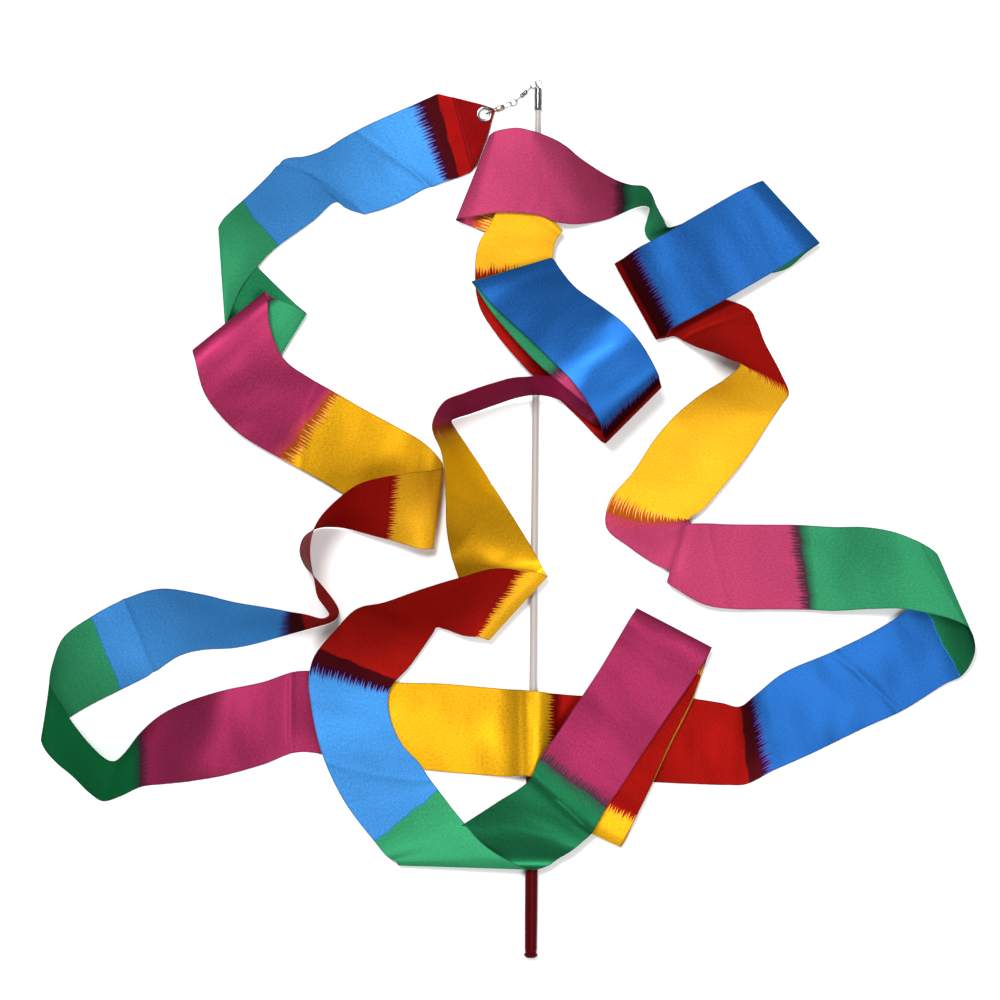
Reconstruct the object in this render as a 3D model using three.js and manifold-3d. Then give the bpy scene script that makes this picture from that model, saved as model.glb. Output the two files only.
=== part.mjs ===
// A rhythmic ribbon wand, laid out on a table. Millimetres, +Z up, table at z = 0.
// +Y runs along the wand from its grip to its tip. The origin is on the table, under the middle of
// the whole laid-out object.
import * as THREE from "three";
import { mergeVertices } from "three/addons/utils/BufferGeometryUtils.js";
import Module from "manifold-3d";

// ---------- driving dimensions ----------
const WAND_X = 15.0; // the wand's axis
const GRIP_END_Y = -256.0;
const GRIP_LENGTH = 150;
const GRIP_RADIUS = 3.65;
const GRIP_END_RADIUS = 3.5;
const WAND_LENGTH = 508; // grip end to ferrule top
const ROD_BUTT_RADIUS = 2.2;
const ROD_TIP_RADIUS = 1.6;
const FERRULE_RADIUS = 2.15;
const FERRULE_LENGTH = 13;
const SIDES = 16; // flats round the grip, one of them underneath
const FIT_GAP = 0.3; // between pieces that touch

const WIRE_RADIUS = 0.23; // rings, eyes and snap
const CHAIN_Z = 2.2; // height of the tip fittings above the table
const LOOP_RADIUS = 1.75; // the tip loop, to the middle of its wire
const LOOP_SHANK = 1.1; // straight wire between the ferrule and the tip loop
const RING_RADIUS = 2.1;
const EYE_RADIUS = 1.1; // the swivel's eyes
const LINK_BITE = 0.9; // how far one link reaches inside the next
const RING_TILT = -42; // degrees from level, so that each ring clears its neighbours
const RING_ANGLE = 211; // heading of the line that both rings tilt about
const FRONT_LINK_ANGLE = 202; // heading in plan from the tip loop to the front ring, degrees from +X
const BARREL_RADIUS = 1.15;
const BARREL_LENGTH = 5.4;
const SNAP_ANGLE = 201.8; // the snap's heading in plan
const SNAP_PLATE = [5, 2.9, 1.5]; // length, width, thickness
const OVAL_REACH = 7.4; // the snap's oval end, from the middle of its plate
const HOOK_REACH = 9.8; // the eyelet's middle, from the middle of the plate

const RIBBON_THICKNESS = 0.4;
const POINT_THICKNESS = 1; // the ribbon's end, folded double and sewn
const EYELET_RADIUS = 4.55;
const EYELET_HOLE_RADIUS = 3.1;
const EYELET_WALL = 0.35;
const FLANGE_THICKNESS = 0.35;
const EYELET_CENTRE = new THREE.Vector3(-16.3, 236.4, CHAIN_Z);

// ---------- the ribbon's route ----------
// The ribbon is one 50 mm strip about 4 m long. Each row is a straight line across it, from edge A to
// edge B: [ax, ay, az, bx, by, bz]. Rows lie along the folds. A band of one colour runs from its first
// row to the next band's first row, starting at the wand's tip.
const BANDS = [
  ["red", [
    [-44, 248, 2, -30.5, 199.5, 2],
  ]],
  ["blue", [
    [-58, 241.5, 2.5, -39.5, 196.5, 2],
    [-71.5, 235.5, 3, -45.5, 194, 1.5],
    [-85, 229, 5, -50.5, 192.5, 1],
    [-97.5, 221.5, 11, -67.5, 183.5, 1],
    [-108.5, 213.5, 20, -86, 178, 1],
    [-119.5, 208.5, 29, -97, 181, 1],
    [-131.5, 206, 33, -102.5, 184.5, 1.5],
    [-140.5, 196.5, 33, -115.5, 173.5, 2],
  ]],
  ["green", [
    [-152, 185.5, 30, -138.5, 156, 3],
    [-161.5, 177.5, 25, -149, 145, 4],
    [-167.5, 172, 19, -159, 131, 5],
    [-170, 166.5, 13, -166, 105, 4.5],
    [-166, 164, 7, -161, 101.5, 2],
    [-145.5, 143.5, 3, -152.5, 94.5, 1],
    [-125, 124, 2.5, -145, 87, 1],
    [-119, 119, 4.5, -139.5, 85, 3],
    [-124, 122, 7, -145, 88, 4.5],
    [-132, 125.5, 7.5, -166, 92, 5],
    [-139, 128, 8, -180.5, 95.5, 5.5],
  ]],
  ["pink", [
    [-143.5, 131, 10.5, -185, 97, 8],
    [-141.5, 126, 13.5, -183.5, 91, 10.5],
    [-140, 111.5, 14.5, -178.5, 73, 10],
    [-131.5, 92, 14.5, -170.5, 61, 9],
    [-116.5, 81, 14, -157, 48, 8],
  ]],
  ["yellow", [
    [-101, 72.5, 12, -129.5, 32, 6],
    [-83.5, 62.5, 11, -111.5, 22.5, 4.5],
    [-67.5, 54, 10, -91.5, 11, 4],
    [-50, 44, 9, -64.5, -1, 4],
    [-41, 35, 10.5, -50, -14.5, 6],
    [-38.5, 30, 14, -43.5, -17.5, 10],
    [-43.5, 28, 18, -50, -18, 14],
  ]],
  ["red", [
    [-63.5, 25.5, 36, -68, -13, 12],
    [-86, 19.5, 46, -85.5, -8.5, 8],
    [-99, 10, 49, -99.5, -6, 3.5],
    [-109, -2, 50.5, -111.5, -6.5, 1.5],
    [-113, -13.5, 51, -119.5, -11.5, 1],
    [-113.5, -22, 51, -122, -20, 1],
    [-112.5, -29, 51, -119.5, -28, 1],
    [-111, -35.5, 51, -113.5, -35, 1],
    [-109, -45.5, 50.5, -106, -43.5, 1],
    [-104.5, -52, 50.5, -100.5, -51, 1],
    [-102.5, -55.5, 50, -99, -55.5, 1],
    [-106, -57.5, 50, -101.5, -60, 1],
    [-116, -55.5, 49, -114.5, -65, 1],
  ]],
  ["blue", [
    [-129, -53.5, 47, -135.5, -71, 1],
    [-155.5, -49, 43, -158.5, -76.5, 1],
    [-177, -44.5, 38, -177.5, -78, 1],
    [-201.5, -42, 30, -192.5, -82, 1],
    [-225, -49.5, 20, -208, -92.5, 1],
  ]],
  ["green", [
    [-242, -59, 22, -226.5, -102, 1],
    [-256.5, -70.5, 32, -244, -111, 1],
    [-261, -83, 38, -260, -121, 1],
    [-262.5, -97, 41, -272, -130, 1],
    [-256.5, -107, 43, -270.5, -136.5, 1],
    [-249.5, -118.5, 44, -264, -144.5, 1],
    [-239, -131.5, 45, -254, -152.5, 1],
    [-229.5, -139.5, 45, -243.5, -162.5, 1],
    [-225, -140.5, 44, -236, -167, 1],
    [-219.5, -136, 43, -225.5, -164, 1],
  ]],
  ["pink", [
    [-211, -125, 40, -213.5, -158.5, 1],
    [-201, -115.5, 31, -199.5, -156.5, 1],
    [-187, -108, 20, -185, -155, 1],
    [-166, -101.5, 9, -167.5, -152, 1],
    [-143, -96.5, 3, -143, -145, 1],
    [-122, -90, 1.5, -121.5, -137.5, 1],
  ]],
  ["yellow", [
    [-95, -92.5, 1.5, -90.5, -142, 1],
    [-65.5, -96, 1.5, -65.5, -145, 1.5],
    [-39.5, -96.5, 1.5, -39, -148, 1.5],
    [-13, -98.5, 2, -12.5, -150, 2],
    [1.5, -99.5, 4.5, 2, -150.5, 4.5],
    [8, -99.5, 8, 8.5, -149.5, 8],
    [14.5, -100, 9, 15, -150, 9],
    [19.5, -100.5, 8, 20, -150, 8],
  ]],
  ["red", [
    [25, -101.5, 5, 24, -151, 5],
    [29.5, -102, 2, 30, -151.5, 2],
    [42.5, -103, 1, 43, -152, 1],
    [66, -103.5, 1, 66.5, -152.5, 1],
    [106.5, -104, 1, 107.5, -154, 1],
    [125.5, -106.5, 1.5, 129, -154.5, 1],
    [135.5, -108.5, 3, 140, -154, 1],
  ]],
  ["blue", [
    [144.5, -101.5, 8, 156.5, -145.5, 1],
    [160.5, -88.5, 8, 178.5, -135.5, 1],
    [188, -76.5, 5, 207.5, -121, 1.5],
    [216, -62.5, 4, 232, -109.5, 2],
    [231.5, -52, 4.5, 256, -94, 3],
  ]],
  ["green", [
    [240.5, -43, 7, 265, -89.5, 4.5],
    [248, -31.5, 10, 270.5, -81, 8],
    [250, -21, 15.5, 271.5, -71, 14],
    [244.5, -15, 21, 265, -59.5, 21],
    [226, -6.5, 24, 232.5, -50.5, 20],
    [208, -3, 18, 211.5, -50.5, 14],
    [189, -3, 10, 189.5, -52, 8],
  ]],
  ["pink", [
    [168, -2, 7, 176, -51.5, 6],
    [149.5, -2, 6.5, 154, -51.5, 5.5],
    [129, -2, 8, 132.5, -51.5, 7],
    [114, -1.5, 10, 114.5, -49, 9.5],
    [105.5, -2, 11, 98, -40, 10.5],
    [101.5, -4, 9.5, 92.5, -36, 8.5],
    [105.5, -2.5, 7.5, 96, -31.5, 6],
    [106.5, -1.5, 6, 84, -25, 3.5],
    [105.5, -0.5, 6, 70.5, -16, 2.5],
    [105.5, 0.5, 6.5, 57, -4.5, 2],
  ]],
  ["yellow", [
    [105.5, 1.5, 6.5, 59, 11.5, 2],
    [112.5, 6, 6, 72, 27.5, 2],
    [124.5, 19.5, 5, 85, 47.5, 2],
    [139, 37.5, 3.5, 97, 61.5, 3],
    [152, 57.5, 2, 111.5, 73.5, 12],
    [159, 68, 1.5, 124, 82, 24],
  ]],
  ["red", [
    [163, 74.5, 1, 132.5, 90.5, 32],
    [158.5, 85.5, 1, 127, 93, 33],
    [149, 104, 1, 118.5, 96.5, 29],
    [140.5, 123, 1, 110, 100, 20],
    [125.5, 129.5, 1, 102, 104, 11],
    [105, 136, 1, 95.5, 107.5, 5],
    [81.5, 142.5, 1.5, 90.5, 106.5, 3],
    [66, 148.5, 2, 87.5, 106, 2],
    [60, 149, 6.5, 84.5, 105, 6.5],
    [65.5, 152.5, 11, 89.5, 108, 10.5],
  ]],
  ["blue", [
    [72.5, 157.5, 15, 95.5, 112.5, 14],
    [86.5, 165, 18, 110, 120.5, 14.5],
    [109.5, 178.5, 17, 130.5, 132, 13],
    [132.5, 192, 14, 156.5, 147.5, 12],
    [139.5, 195.5, 13.5, 171.5, 157.5, 12],
  ]],
  ["green", [
    [146.5, 198.5, 9.5, 180, 162.5, 8],
    [141.5, 195.5, 5, 172.5, 157, 4.5],
    [130.5, 189, 4, 160, 147, 2],
    [117, 182, 4.5, 137, 144.5, 1.5],
    [104, 175.5, 6.5, 110.5, 151, 1.5],
    [97.5, 172, 9, 91.5, 158, 1.5],
    [91.5, 170, 13, 80, 164.5, 1.5],
    [88, 174, 24, 78, 169.5, 1.5],
    [83.5, 181, 35, 79.5, 176.5, 1.5],
    [80, 188, 43, 80.5, 182.5, 1.5],
    [76, 191.5, 46, 77, 183.5, 1.5],
    [69, 192, 46, 71, 182, 1.5],
  ]],
  ["pink", [
    [63, 193.5, 46, 65, 179.5, 1.5],
    [55, 197.5, 43, 56.5, 176, 1.5],
    [39.5, 208.5, 33, 46, 173.5, 3],
    [29.5, 217.5, 24, 36.5, 172, 8],
    [16.5, 224, 17, 26, 173, 13],
    [10.5, 226, 15, 16.5, 176.5, 13.5],
    [3.5, 227.5, 14.5, 5, 178, 13.5],
    [-5.5, 226.5, 13.5, -9, 178, 12.5],
    [-10.5, 225, 12.5, -24, 175.5, 11],
    [-13.5, 222, 9, -32.5, 174, 7.5],
    [-11, 220, 6, -28.5, 172.5, 4],
  ]],
  ["yellow", [
    [-9, 217, 6, -15.5, 168, 3],
    [-4.5, 213, 6.5, 0.5, 164, 6.5],
    [-1, 208.5, 7.5, 19.5, 163.5, 8],
    [0.5, 205.5, 9, 30, 168.5, 9.5],
    [-1.5, 199.5, 11, 29, 166.5, 11],
    [-6, 185.5, 10.5, 27, 164, 10],
    [-12.5, 171.5, 9.5, 25.5, 161, 9.5],
    [-19, 160, 8, 24.5, 154.5, 8.5],
  ]],
  ["red", [
    [-21, 146, 6.5, 24, 147, 7.5],
    [-18.5, 124.5, 4.5, 28.5, 136.5, 7],
    [-8, 107.5, 5.5, 35.5, 125.5, 7],
    [3.5, 94, 7, 47, 113, 6.5],
    [13, 84, 7, 58, 101.5, 5],
    [30.5, 68.5, 4, 71, 91, 3],
    [43, 56.5, 3, 80.5, 83.5, 3],
    [52, 47, 7, 85.5, 79.5, 8],
    [56, 44.5, 21, 87.5, 77, 22],
    [53.5, 49.5, 36, 86, 81, 37],
  ]],
  ["blue", [
    [52, 55, 42, 85, 84, 42],
    [44.5, 67.5, 46, 76, 100, 45],
    [35.5, 79.5, 46, 65.5, 112.5, 44],
    [23.5, 91.5, 42, 51.5, 123.5, 38],
    [5.5, 109, 31, 37, 134.5, 28],
    [-11.5, 125, 21, 28, 146, 19.5],
    [-19.5, 134.5, 16.5, 25.5, 150, 16.5],
  ]],
  ["green", [
    [-23, 138, 13.5, 23, 152, 14],
    [-19.5, 133, 11.5, 22, 148.5, 12],
    [-12, 121.5, 15, 26, 140.5, 15],
    [1, 105.5, 25, 35.5, 129.5, 23],
    [16, 89.5, 36, 49, 116.5, 33],
  ]],
  ["pink", [
    [24, 82.5, 40, 55, 110.5, 37],
    [35.5, 73, 42, 64, 102.5, 40],
    [46, 64.5, 36, 73.5, 91, 36],
    [51, 57, 24, 78, 84.5, 24],
    [48.5, 55.5, 12, 74.5, 81.5, 16],
    [41.5, 60.5, 7.5, 58, 82, 22],
    [30, 69, 8, 32, 83, 32],
    [16, 72.5, 8.5, 13, 82, 47],
    [4.5, 71, 6.5, 1, 81, 49.5],
    [-7, 67, 4, -10.5, 77.5, 49.5],
    [-23, 61, 2, -26, 72, 49.5],
    [-31, 58.5, 1.5, -38, 67, 49.5],
    [-34, 57, 1.5, -44.5, 54.5, 49.5],
  ]],
  ["yellow", [
    [-32, 52.5, 1, -43.5, 48, 49],
    [-25, 42.5, 1, -39.5, 39.5, 48],
    [-17.5, 32, 1, -37, 26, 46],
    [-7, 15.5, 1, -36.5, 12, 41],
    [3.5, -0.5, 2, -36, -3.5, 31],
    [12.5, -15, 4.5, -33.5, -20, 20],
    [18, -24.5, 7.5, -28.5, -35.5, 12],
    [20.5, -29.5, 8, -18.5, -58, 7],
    [23, -33.5, 10.5, -10.5, -70.5, 9.5],
    [18.5, -31, 13.5, -14.5, -69.5, 12.5],
  ]],
  ["red", [
    [9, -30, 15, -17, -69, 13],
    [-8, -28.5, 30, -26.5, -68, 11],
    [-28.5, -34, 43, -37, -64.5, 8],
    [-50.5, -41, 48, -41.5, -63.5, 6.5],
    [-70.5, -48, 43, -43.5, -67, 6],
    [-87, -52.5, 30, -49, -75, 5],
    [-100, -65, 15, -58, -87.5, 4.5],
  ]],
  ["blue", [
    [-113, -81.5, 8, -67, -97.5, 5],
    [-116, -95, 6, -69.5, -105, 5],
    [-114.5, -109.5, 5.5, -67.5, -119, 5],
    [-110.5, -129, 5.5, -60.5, -133, 5],
    [-104.5, -146.5, 5, -51, -143, 4.5],
    [-93.5, -167.5, 4, -46, -150.5, 4],
  ]],
  ["green", [
    [-76, -190, 4, -39.5, -159, 4],
    [-70, -197, 5, -28, -173.5, 5.5],
    [-66, -199.5, 7, -14, -189, 9],
    [-64, -200.5, 7, 1, -198.5, 12],
    [-62.5, -202.5, 5.5, 15, -203.5, 12],
    [-56, -200.5, 3.5, 24.5, -201.5, 11.5],
    [-44.5, -191.5, 3, 30.5, -197.5, 11],
    [-24.5, -178, 6, 38.5, -192.5, 12],
    [-5.5, -165, 10.5, 45, -187, 11.5],
    [12.5, -152.5, 12, 49.5, -183, 11],
  ]],
  ["pink", [
    [19.5, -139, 11.5, 59, -166.5, 10.5],
    [29.5, -124.5, 9.5, 67, -155, 9.5],
    [39.5, -109, 9, 77.5, -138.5, 9],
    [54, -86.5, 10, 93.5, -114, 10],
    [66.5, -65, 11, 107.5, -93.5, 11],
    [71.5, -56.5, 11, 115.5, -80, 11],
  ]],
  ["yellow", [
    [75, -51.5, 8, 119, -74, 8],
    [72.5, -56.5, 5, 117, -79, 5],
    [61, -82, 4, 108, -105.5, 4],
    [48.5, -110, 4, 95.5, -131, 4],
    [38, -134.5, 4, 85, -154.5, 4],
    [29, -158, 3.5, 74.5, -176.5, 3.5],
    [25.5, -168.5, 3, 69, -188.5, 3],
    [23, -171.5, 5, 66.5, -191.5, 5],
    [26.5, -167.5, 6.5, 68.5, -187, 6.5],
  ]],
  ["red", [
    [32, -155.5, 6.5, 74.5, -175.5, 6.5],
    [42, -132, 6.5, 84.5, -154, 6.5],
    [52, -108, 6.5, 95, -130, 6.5],
    [62.5, -85, 7, 107.5, -104.5, 7],
    [69.5, -70.5, 7, 113, -89.5, 7],
  ]],
];

// ---------- materials ----------
const plastic = (color, roughness) => new THREE.MeshStandardMaterial({ color, roughness, metalness: 0 });
const metal = (color, roughness) => new THREE.MeshStandardMaterial({ color, roughness, metalness: 1 });
const RIBBON_COLOURS = { red: 0xa81a14, blue: 0x3f86dd, green: 0x1f8f55, pink: 0xc63c7e, yellow: 0xe9b420 };

const wasm = await Module();
wasm.setup();

// ---------- joining and cutting ----------
function toSolid(geometry) {
  const plain = (geometry.index ? geometry.toNonIndexed() : geometry.clone());
  plain.deleteAttribute("normal");
  plain.deleteAttribute("uv");
  const merged = mergeVertices(plain, 1e-4);
  const vertProperties = merged.attributes.position.array;
  const triVerts = new Uint32Array(merged.index.array);
  return new wasm.Manifold(new wasm.Mesh({ numProp: 3, vertProperties, triVerts }));
}

function toGeometry(solid) {
  const mesh = solid.getMesh();
  const geometry = new THREE.BufferGeometry();
  geometry.setAttribute("position", new THREE.BufferAttribute(new Float32Array(mesh.vertProperties), 3));
  geometry.setIndex(new THREE.BufferAttribute(new Uint32Array(mesh.triVerts), 1));
  geometry.computeVertexNormals();
  return geometry;
}

const joined = (geometries) => toGeometry(geometries.map(toSolid).reduce((all, one) => all.add(one)));
const cut = (body, tool) => toGeometry(toSolid(body).subtract(toSolid(tool)));

// ---------- shapes ----------
// A solid of revolution about +Y from [radius, height] points.
function turned(points, sides = 24, start = 0) {
  return new THREE.LatheGeometry(points.map(([r, y]) => new THREE.Vector2(r, y)), sides, start);
}

// A round wire along a curve; a closed curve makes a closed link.
function wire(curve, steps, radius = WIRE_RADIUS, sides = 8, closed = false) {
  if (closed) return new THREE.TubeGeometry(curve, steps, radius, sides, true);
  const circle = new THREE.Shape().absarc(0, 0, radius, 0, 2 * Math.PI, false);
  const options = { steps, curveSegments: sides / 2, extrudePath: curve, bevelEnabled: false };
  return new THREE.ExtrudeGeometry(circle, options);
}

const ringGeometry = (radius) => new THREE.TorusGeometry(radius, WIRE_RADIUS, 8, 28);

function addMesh(parent, name, geometry, material) {
  const mesh = new THREE.Mesh(geometry, material);
  mesh.name = name;
  parent.add(mesh);
  return mesh;
}

// ---------- the wand ----------
function makeWand(root) {
  const wand = new THREE.Group();
  const flat = GRIP_RADIUS * Math.cos(Math.PI / SIDES);
  const shoulderY = GRIP_END_Y + GRIP_LENGTH;
  const tipY = GRIP_END_Y + WAND_LENGTH;
  // The wand rests on the grip's front shoulder and on the ferrule, so its axis slopes a little.
  const slope = Math.asin((flat - CHAIN_Z) / (tipY - shoulderY));
  wand.position.set(WAND_X, shoulderY, flat);
  wand.rotation.x = -slope;
  root.add(wand);
  const back = -GRIP_LENGTH;
  const tip = WAND_LENGTH - GRIP_LENGTH;
  const bore = ROD_BUTT_RADIUS + FIT_GAP;
  const gripProfile = [
    [bore, back], [bore + 0.45, back], [bore + 0.85, back + 0.5], [GRIP_END_RADIUS - 0.1, back + 2.2],
    [GRIP_END_RADIUS, back + 4], [GRIP_RADIUS, back + 25], [GRIP_RADIUS, -0.8], [GRIP_RADIUS - 0.6, 0],
    [bore, 0], [bore, back],
  ];
  addMesh(wand, "grip", turned(gripProfile, SIDES, Math.PI / SIDES), plastic(0x5f050c, 0.35));
  const rodEnd = tip - 2.6;
  const rodProfile = [
    [0, back], [ROD_BUTT_RADIUS - 0.3, back], [ROD_BUTT_RADIUS, back + 0.4], [ROD_BUTT_RADIUS, 0],
    [ROD_TIP_RADIUS, tip - FERRULE_LENGTH], [ROD_TIP_RADIUS, rodEnd], [0, rodEnd],
  ];
  addMesh(wand, "rod", turned(rodProfile), plastic(0xcfc6c4, 0.4));

  const socket = ROD_TIP_RADIUS + FIT_GAP;
  const neck = WIRE_RADIUS + FIT_GAP;
  const bottom = tip - FERRULE_LENGTH;
  const ferruleProfile = [
    [socket, bottom], [FERRULE_RADIUS - 0.1, bottom], [FERRULE_RADIUS, bottom + 0.3],
    [FERRULE_RADIUS, tip - 0.5], [FERRULE_RADIUS - 0.4, tip], [neck, tip], [neck, tip - 1],
    [socket, tip - 1], [socket, bottom],
  ];
  addMesh(wand, "ferrule", turned(ferruleProfile), metal(0xb8b2b0, 0.15));

  // The tip loop is bent from one wire, with a head inside the ferrule.
  const loopY = tip + LOOP_RADIUS + LOOP_SHANK;
  const loop = ringGeometry(LOOP_RADIUS).translate(0, loopY, 0);
  const shankFoot = tip - 1.6;
  const shank = turned([[0, shankFoot], [WIRE_RADIUS, shankFoot], [WIRE_RADIUS, loopY - LOOP_RADIUS],
    [0, loopY - LOOP_RADIUS]], 12);
  const head = turned([[0, shankFoot - 0.5], [1.2, shankFoot - 0.5], [1.2, shankFoot], [0, shankFoot]], 16);
  addMesh(wand, "tip_loop", joined([loop, shank, head]), metal(0xa8a3a2, 0.2));
  return new THREE.Vector3(WAND_X, tipY + LOOP_RADIUS + LOOP_SHANK, CHAIN_Z);
}

// ---------- the chain from the tip loop to the eyelet ----------
// A group whose +X runs along a heading in plan.
function headed(parent, place, degrees) {
  const group = new THREE.Group();
  group.position.copy(place);
  group.rotation.z = THREE.MathUtils.degToRad(degrees);
  parent.add(group);
  return group;
}

const along = (place, degrees, distance) => {
  const angle = THREE.MathUtils.degToRad(degrees);
  return place.clone().add(new THREE.Vector3(Math.cos(angle), Math.sin(angle), 0).multiplyScalar(distance));
};

function addRing(root, name, centre, heading) {
  const ring = addMesh(headed(root, centre, heading), name, ringGeometry(RING_RADIUS), metal(0xa8a3a2, 0.2));
  ring.rotation.x = THREE.MathUtils.degToRad(RING_TILT);
}

// One eye of the swivel: a small upright loop, its neck, and a head that turns inside the barrel.
// +X points away from the barrel, whose middle is at 0.
const EYE_NECK_RADIUS = 0.28;
const EYE_HEAD_RADIUS = 0.55;
const BARREL_WALL = 0.45;

function eyeGeometry(eyeX) {
  const headX = BARREL_LENGTH / 2 - BARREL_WALL - FIT_GAP;
  const loop = ringGeometry(EYE_RADIUS).rotateX(Math.PI / 2).translate(eyeX, 0, 0);
  const peg = (radius, from, to) =>
    turned([[0, from], [radius, from], [radius, to], [0, to]], 12).rotateZ(-Math.PI / 2);
  const neck = peg(EYE_NECK_RADIUS, headX - 0.5, eyeX - EYE_RADIUS);
  const head = peg(EYE_HEAD_RADIUS, headX - 0.6, headX);
  return joined([loop, neck, head]);
}

// The swivel spans from the front ring to the rear ring.
function makeSwivel(root, frontRing, rearRing) {
  const span = rearRing.clone().sub(frontRing);
  const middle = frontRing.clone().addScaledVector(span, 0.5);
  const heading = THREE.MathUtils.radToDeg(Math.atan2(span.y, span.x));
  const group = headed(root, middle, heading);
  const steel = metal(0x6e6867, 0.25);
  const geometry = eyeGeometry(span.length() / 2 - RING_RADIUS + LINK_BITE - EYE_RADIUS);
  addMesh(group, "swivel_front_eye", geometry, steel).rotation.z = Math.PI;
  addMesh(group, "swivel_rear_eye", geometry.clone(), steel);
  const half = BARREL_LENGTH / 2;
  const mouth = EYE_NECK_RADIUS + FIT_GAP;
  const cavity = EYE_HEAD_RADIUS + FIT_GAP;
  const inner = half - BARREL_WALL;
  const shell = [
    [mouth, -half], [0.8, -half], [BARREL_RADIUS, -half + 1.1], [BARREL_RADIUS, half - 1.1], [0.8, half],
    [mouth, half], [mouth, inner], [cavity, inner], [cavity, -inner], [mouth, -inner], [mouth, -half],
  ];
  addMesh(group, "swivel_barrel", turned(shell), metal(0x8c8685, 0.2)).rotation.z = -Math.PI / 2;
}

// The snap: a bent wire that links the rear ring to the eyelet, and a plate folded over its legs.
// One leg passes under the ribbon's point and comes up through the eyelet, back to the other leg.
function makeSnap(root, plateCentre) {
  const steel = metal(0xb4a8a2, 0.25);
  const group = headed(root, plateCentre, SNAP_ANGLE);
  const [length, width, thickness] = SNAP_PLATE;
  const legs = 0.8; // half the spacing of the legs inside the plate
  const half = length / 2;
  const oval = [[-half, legs], [-half - 1.2, 1.1], [-OVAL_REACH + 1, 1.15], [-OVAL_REACH, 0]];
  const hook = [
    [half, legs, 0], [3.1, 0.7, -0.9], [4.2, 0.45, -1.45], [6, 0.2, -1.5], [8, 0, -1.4], [8.9, 0, -0.6],
    [9.1, 0, 0.3], [8.8, 0, 1.2], [8, 0, 1.6], [6, -0.2, 1.65], [4.2, -0.45, 1.5], [3.1, -0.7, 1], [half, -legs, 0],
  ];
  const route = [
    ...hook,
    ...oval.map(([x, y]) => [x, -y, 0]),
    ...oval.slice(0, 3).reverse().map(([x, y]) => [x, y, 0]),
  ].map((point) => new THREE.Vector3(...point));
  const curve = new THREE.CatmullRomCurve3(route, true, "centripetal");
  addMesh(group, "snap_wire", wire(curve, 76, WIRE_RADIUS, 8, true), steel);
  const channel = 2 * (WIRE_RADIUS + FIT_GAP);
  const slot = (side) => new THREE.BoxGeometry(length + 1, channel, channel).translate(0, side * legs, 0);
  const plate = cut(cut(new THREE.BoxGeometry(length, width, thickness), slot(1)), slot(-1));
  addMesh(group, "snap_plate", plate, metal(0xa2948c, 0.3));
}

// ---------- the ribbon's sewn point and its eyelet ----------
function makePoint(root) {
  const outline = new THREE.Shape([
    [-43.6, 248.2], [-17.5, 241.9], [-10.6, 239.6], [-10.4, 237.5], [-12.1, 232.1], [-14.7, 222.7],
    [-20.5, 207], [-24.5, 202.4], [-29.7, 199.8],
  ].map(([x, y]) => new THREE.Vector2(x, y)));
  const options = { depth: POINT_THICKNESS, bevelEnabled: false };
  const slab = new THREE.ExtrudeGeometry(outline, options).translate(0, 0, CHAIN_Z - POINT_THICKNESS / 2);
  const radius = EYELET_HOLE_RADIUS + EYELET_WALL + FIT_GAP;
  const hole = turned([[0, -3], [radius, -3], [radius, 3], [0, 3]]).rotateX(Math.PI / 2);
  addMesh(root, "ribbon_point", cut(slab, hole.translate(...EYELET_CENTRE)), plastic(0x93150f, 0.5));
}

function makeEyelet(root) {
  const outer = EYELET_HOLE_RADIUS + EYELET_WALL;
  const face = POINT_THICKNESS / 2 + FIT_GAP;
  const top = face + FLANGE_THICKNESS;
  const chrome = metal(0xc9c7c6, 0.12);
  const flange = turned([
    [EYELET_HOLE_RADIUS, -top], [outer, -top], [outer, face], [EYELET_RADIUS, face],
    [EYELET_RADIUS - 0.3, top], [EYELET_HOLE_RADIUS + 0.2, top], [EYELET_HOLE_RADIUS, top - 0.2],
    [EYELET_HOLE_RADIUS, -top],
  ], 32);
  addMesh(root, "eyelet", flange.rotateX(Math.PI / 2).translate(...EYELET_CENTRE), chrome);
  const bore = outer + 0.15;
  const washer = turned([
    [bore, -top], [EYELET_RADIUS - 0.2, -top], [EYELET_RADIUS, -face], [bore, -face], [bore, -top],
  ], 32);
  addMesh(root, "eyelet_washer", washer.rotateX(Math.PI / 2).translate(...EYELET_CENTRE), chrome);
}

// ---------- the ribbon ----------
const rows = BANDS.flatMap(([, bandRows]) => bandRows);
const edge = (first) => new THREE.CatmullRomCurve3(
  rows.map((row) => new THREE.Vector3(row[first], row[first + 1], row[first + 2])), false, "centripetal");
const edgeA = edge(0);
const edgeB = edge(3);

// The line across the ribbon at a place between rows, such as 3.5.
function ruling(place) {
  const t = Math.min(place / (rows.length - 1), 1);
  return [edgeA.getPoint(t), edgeB.getPoint(t)];
}

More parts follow.
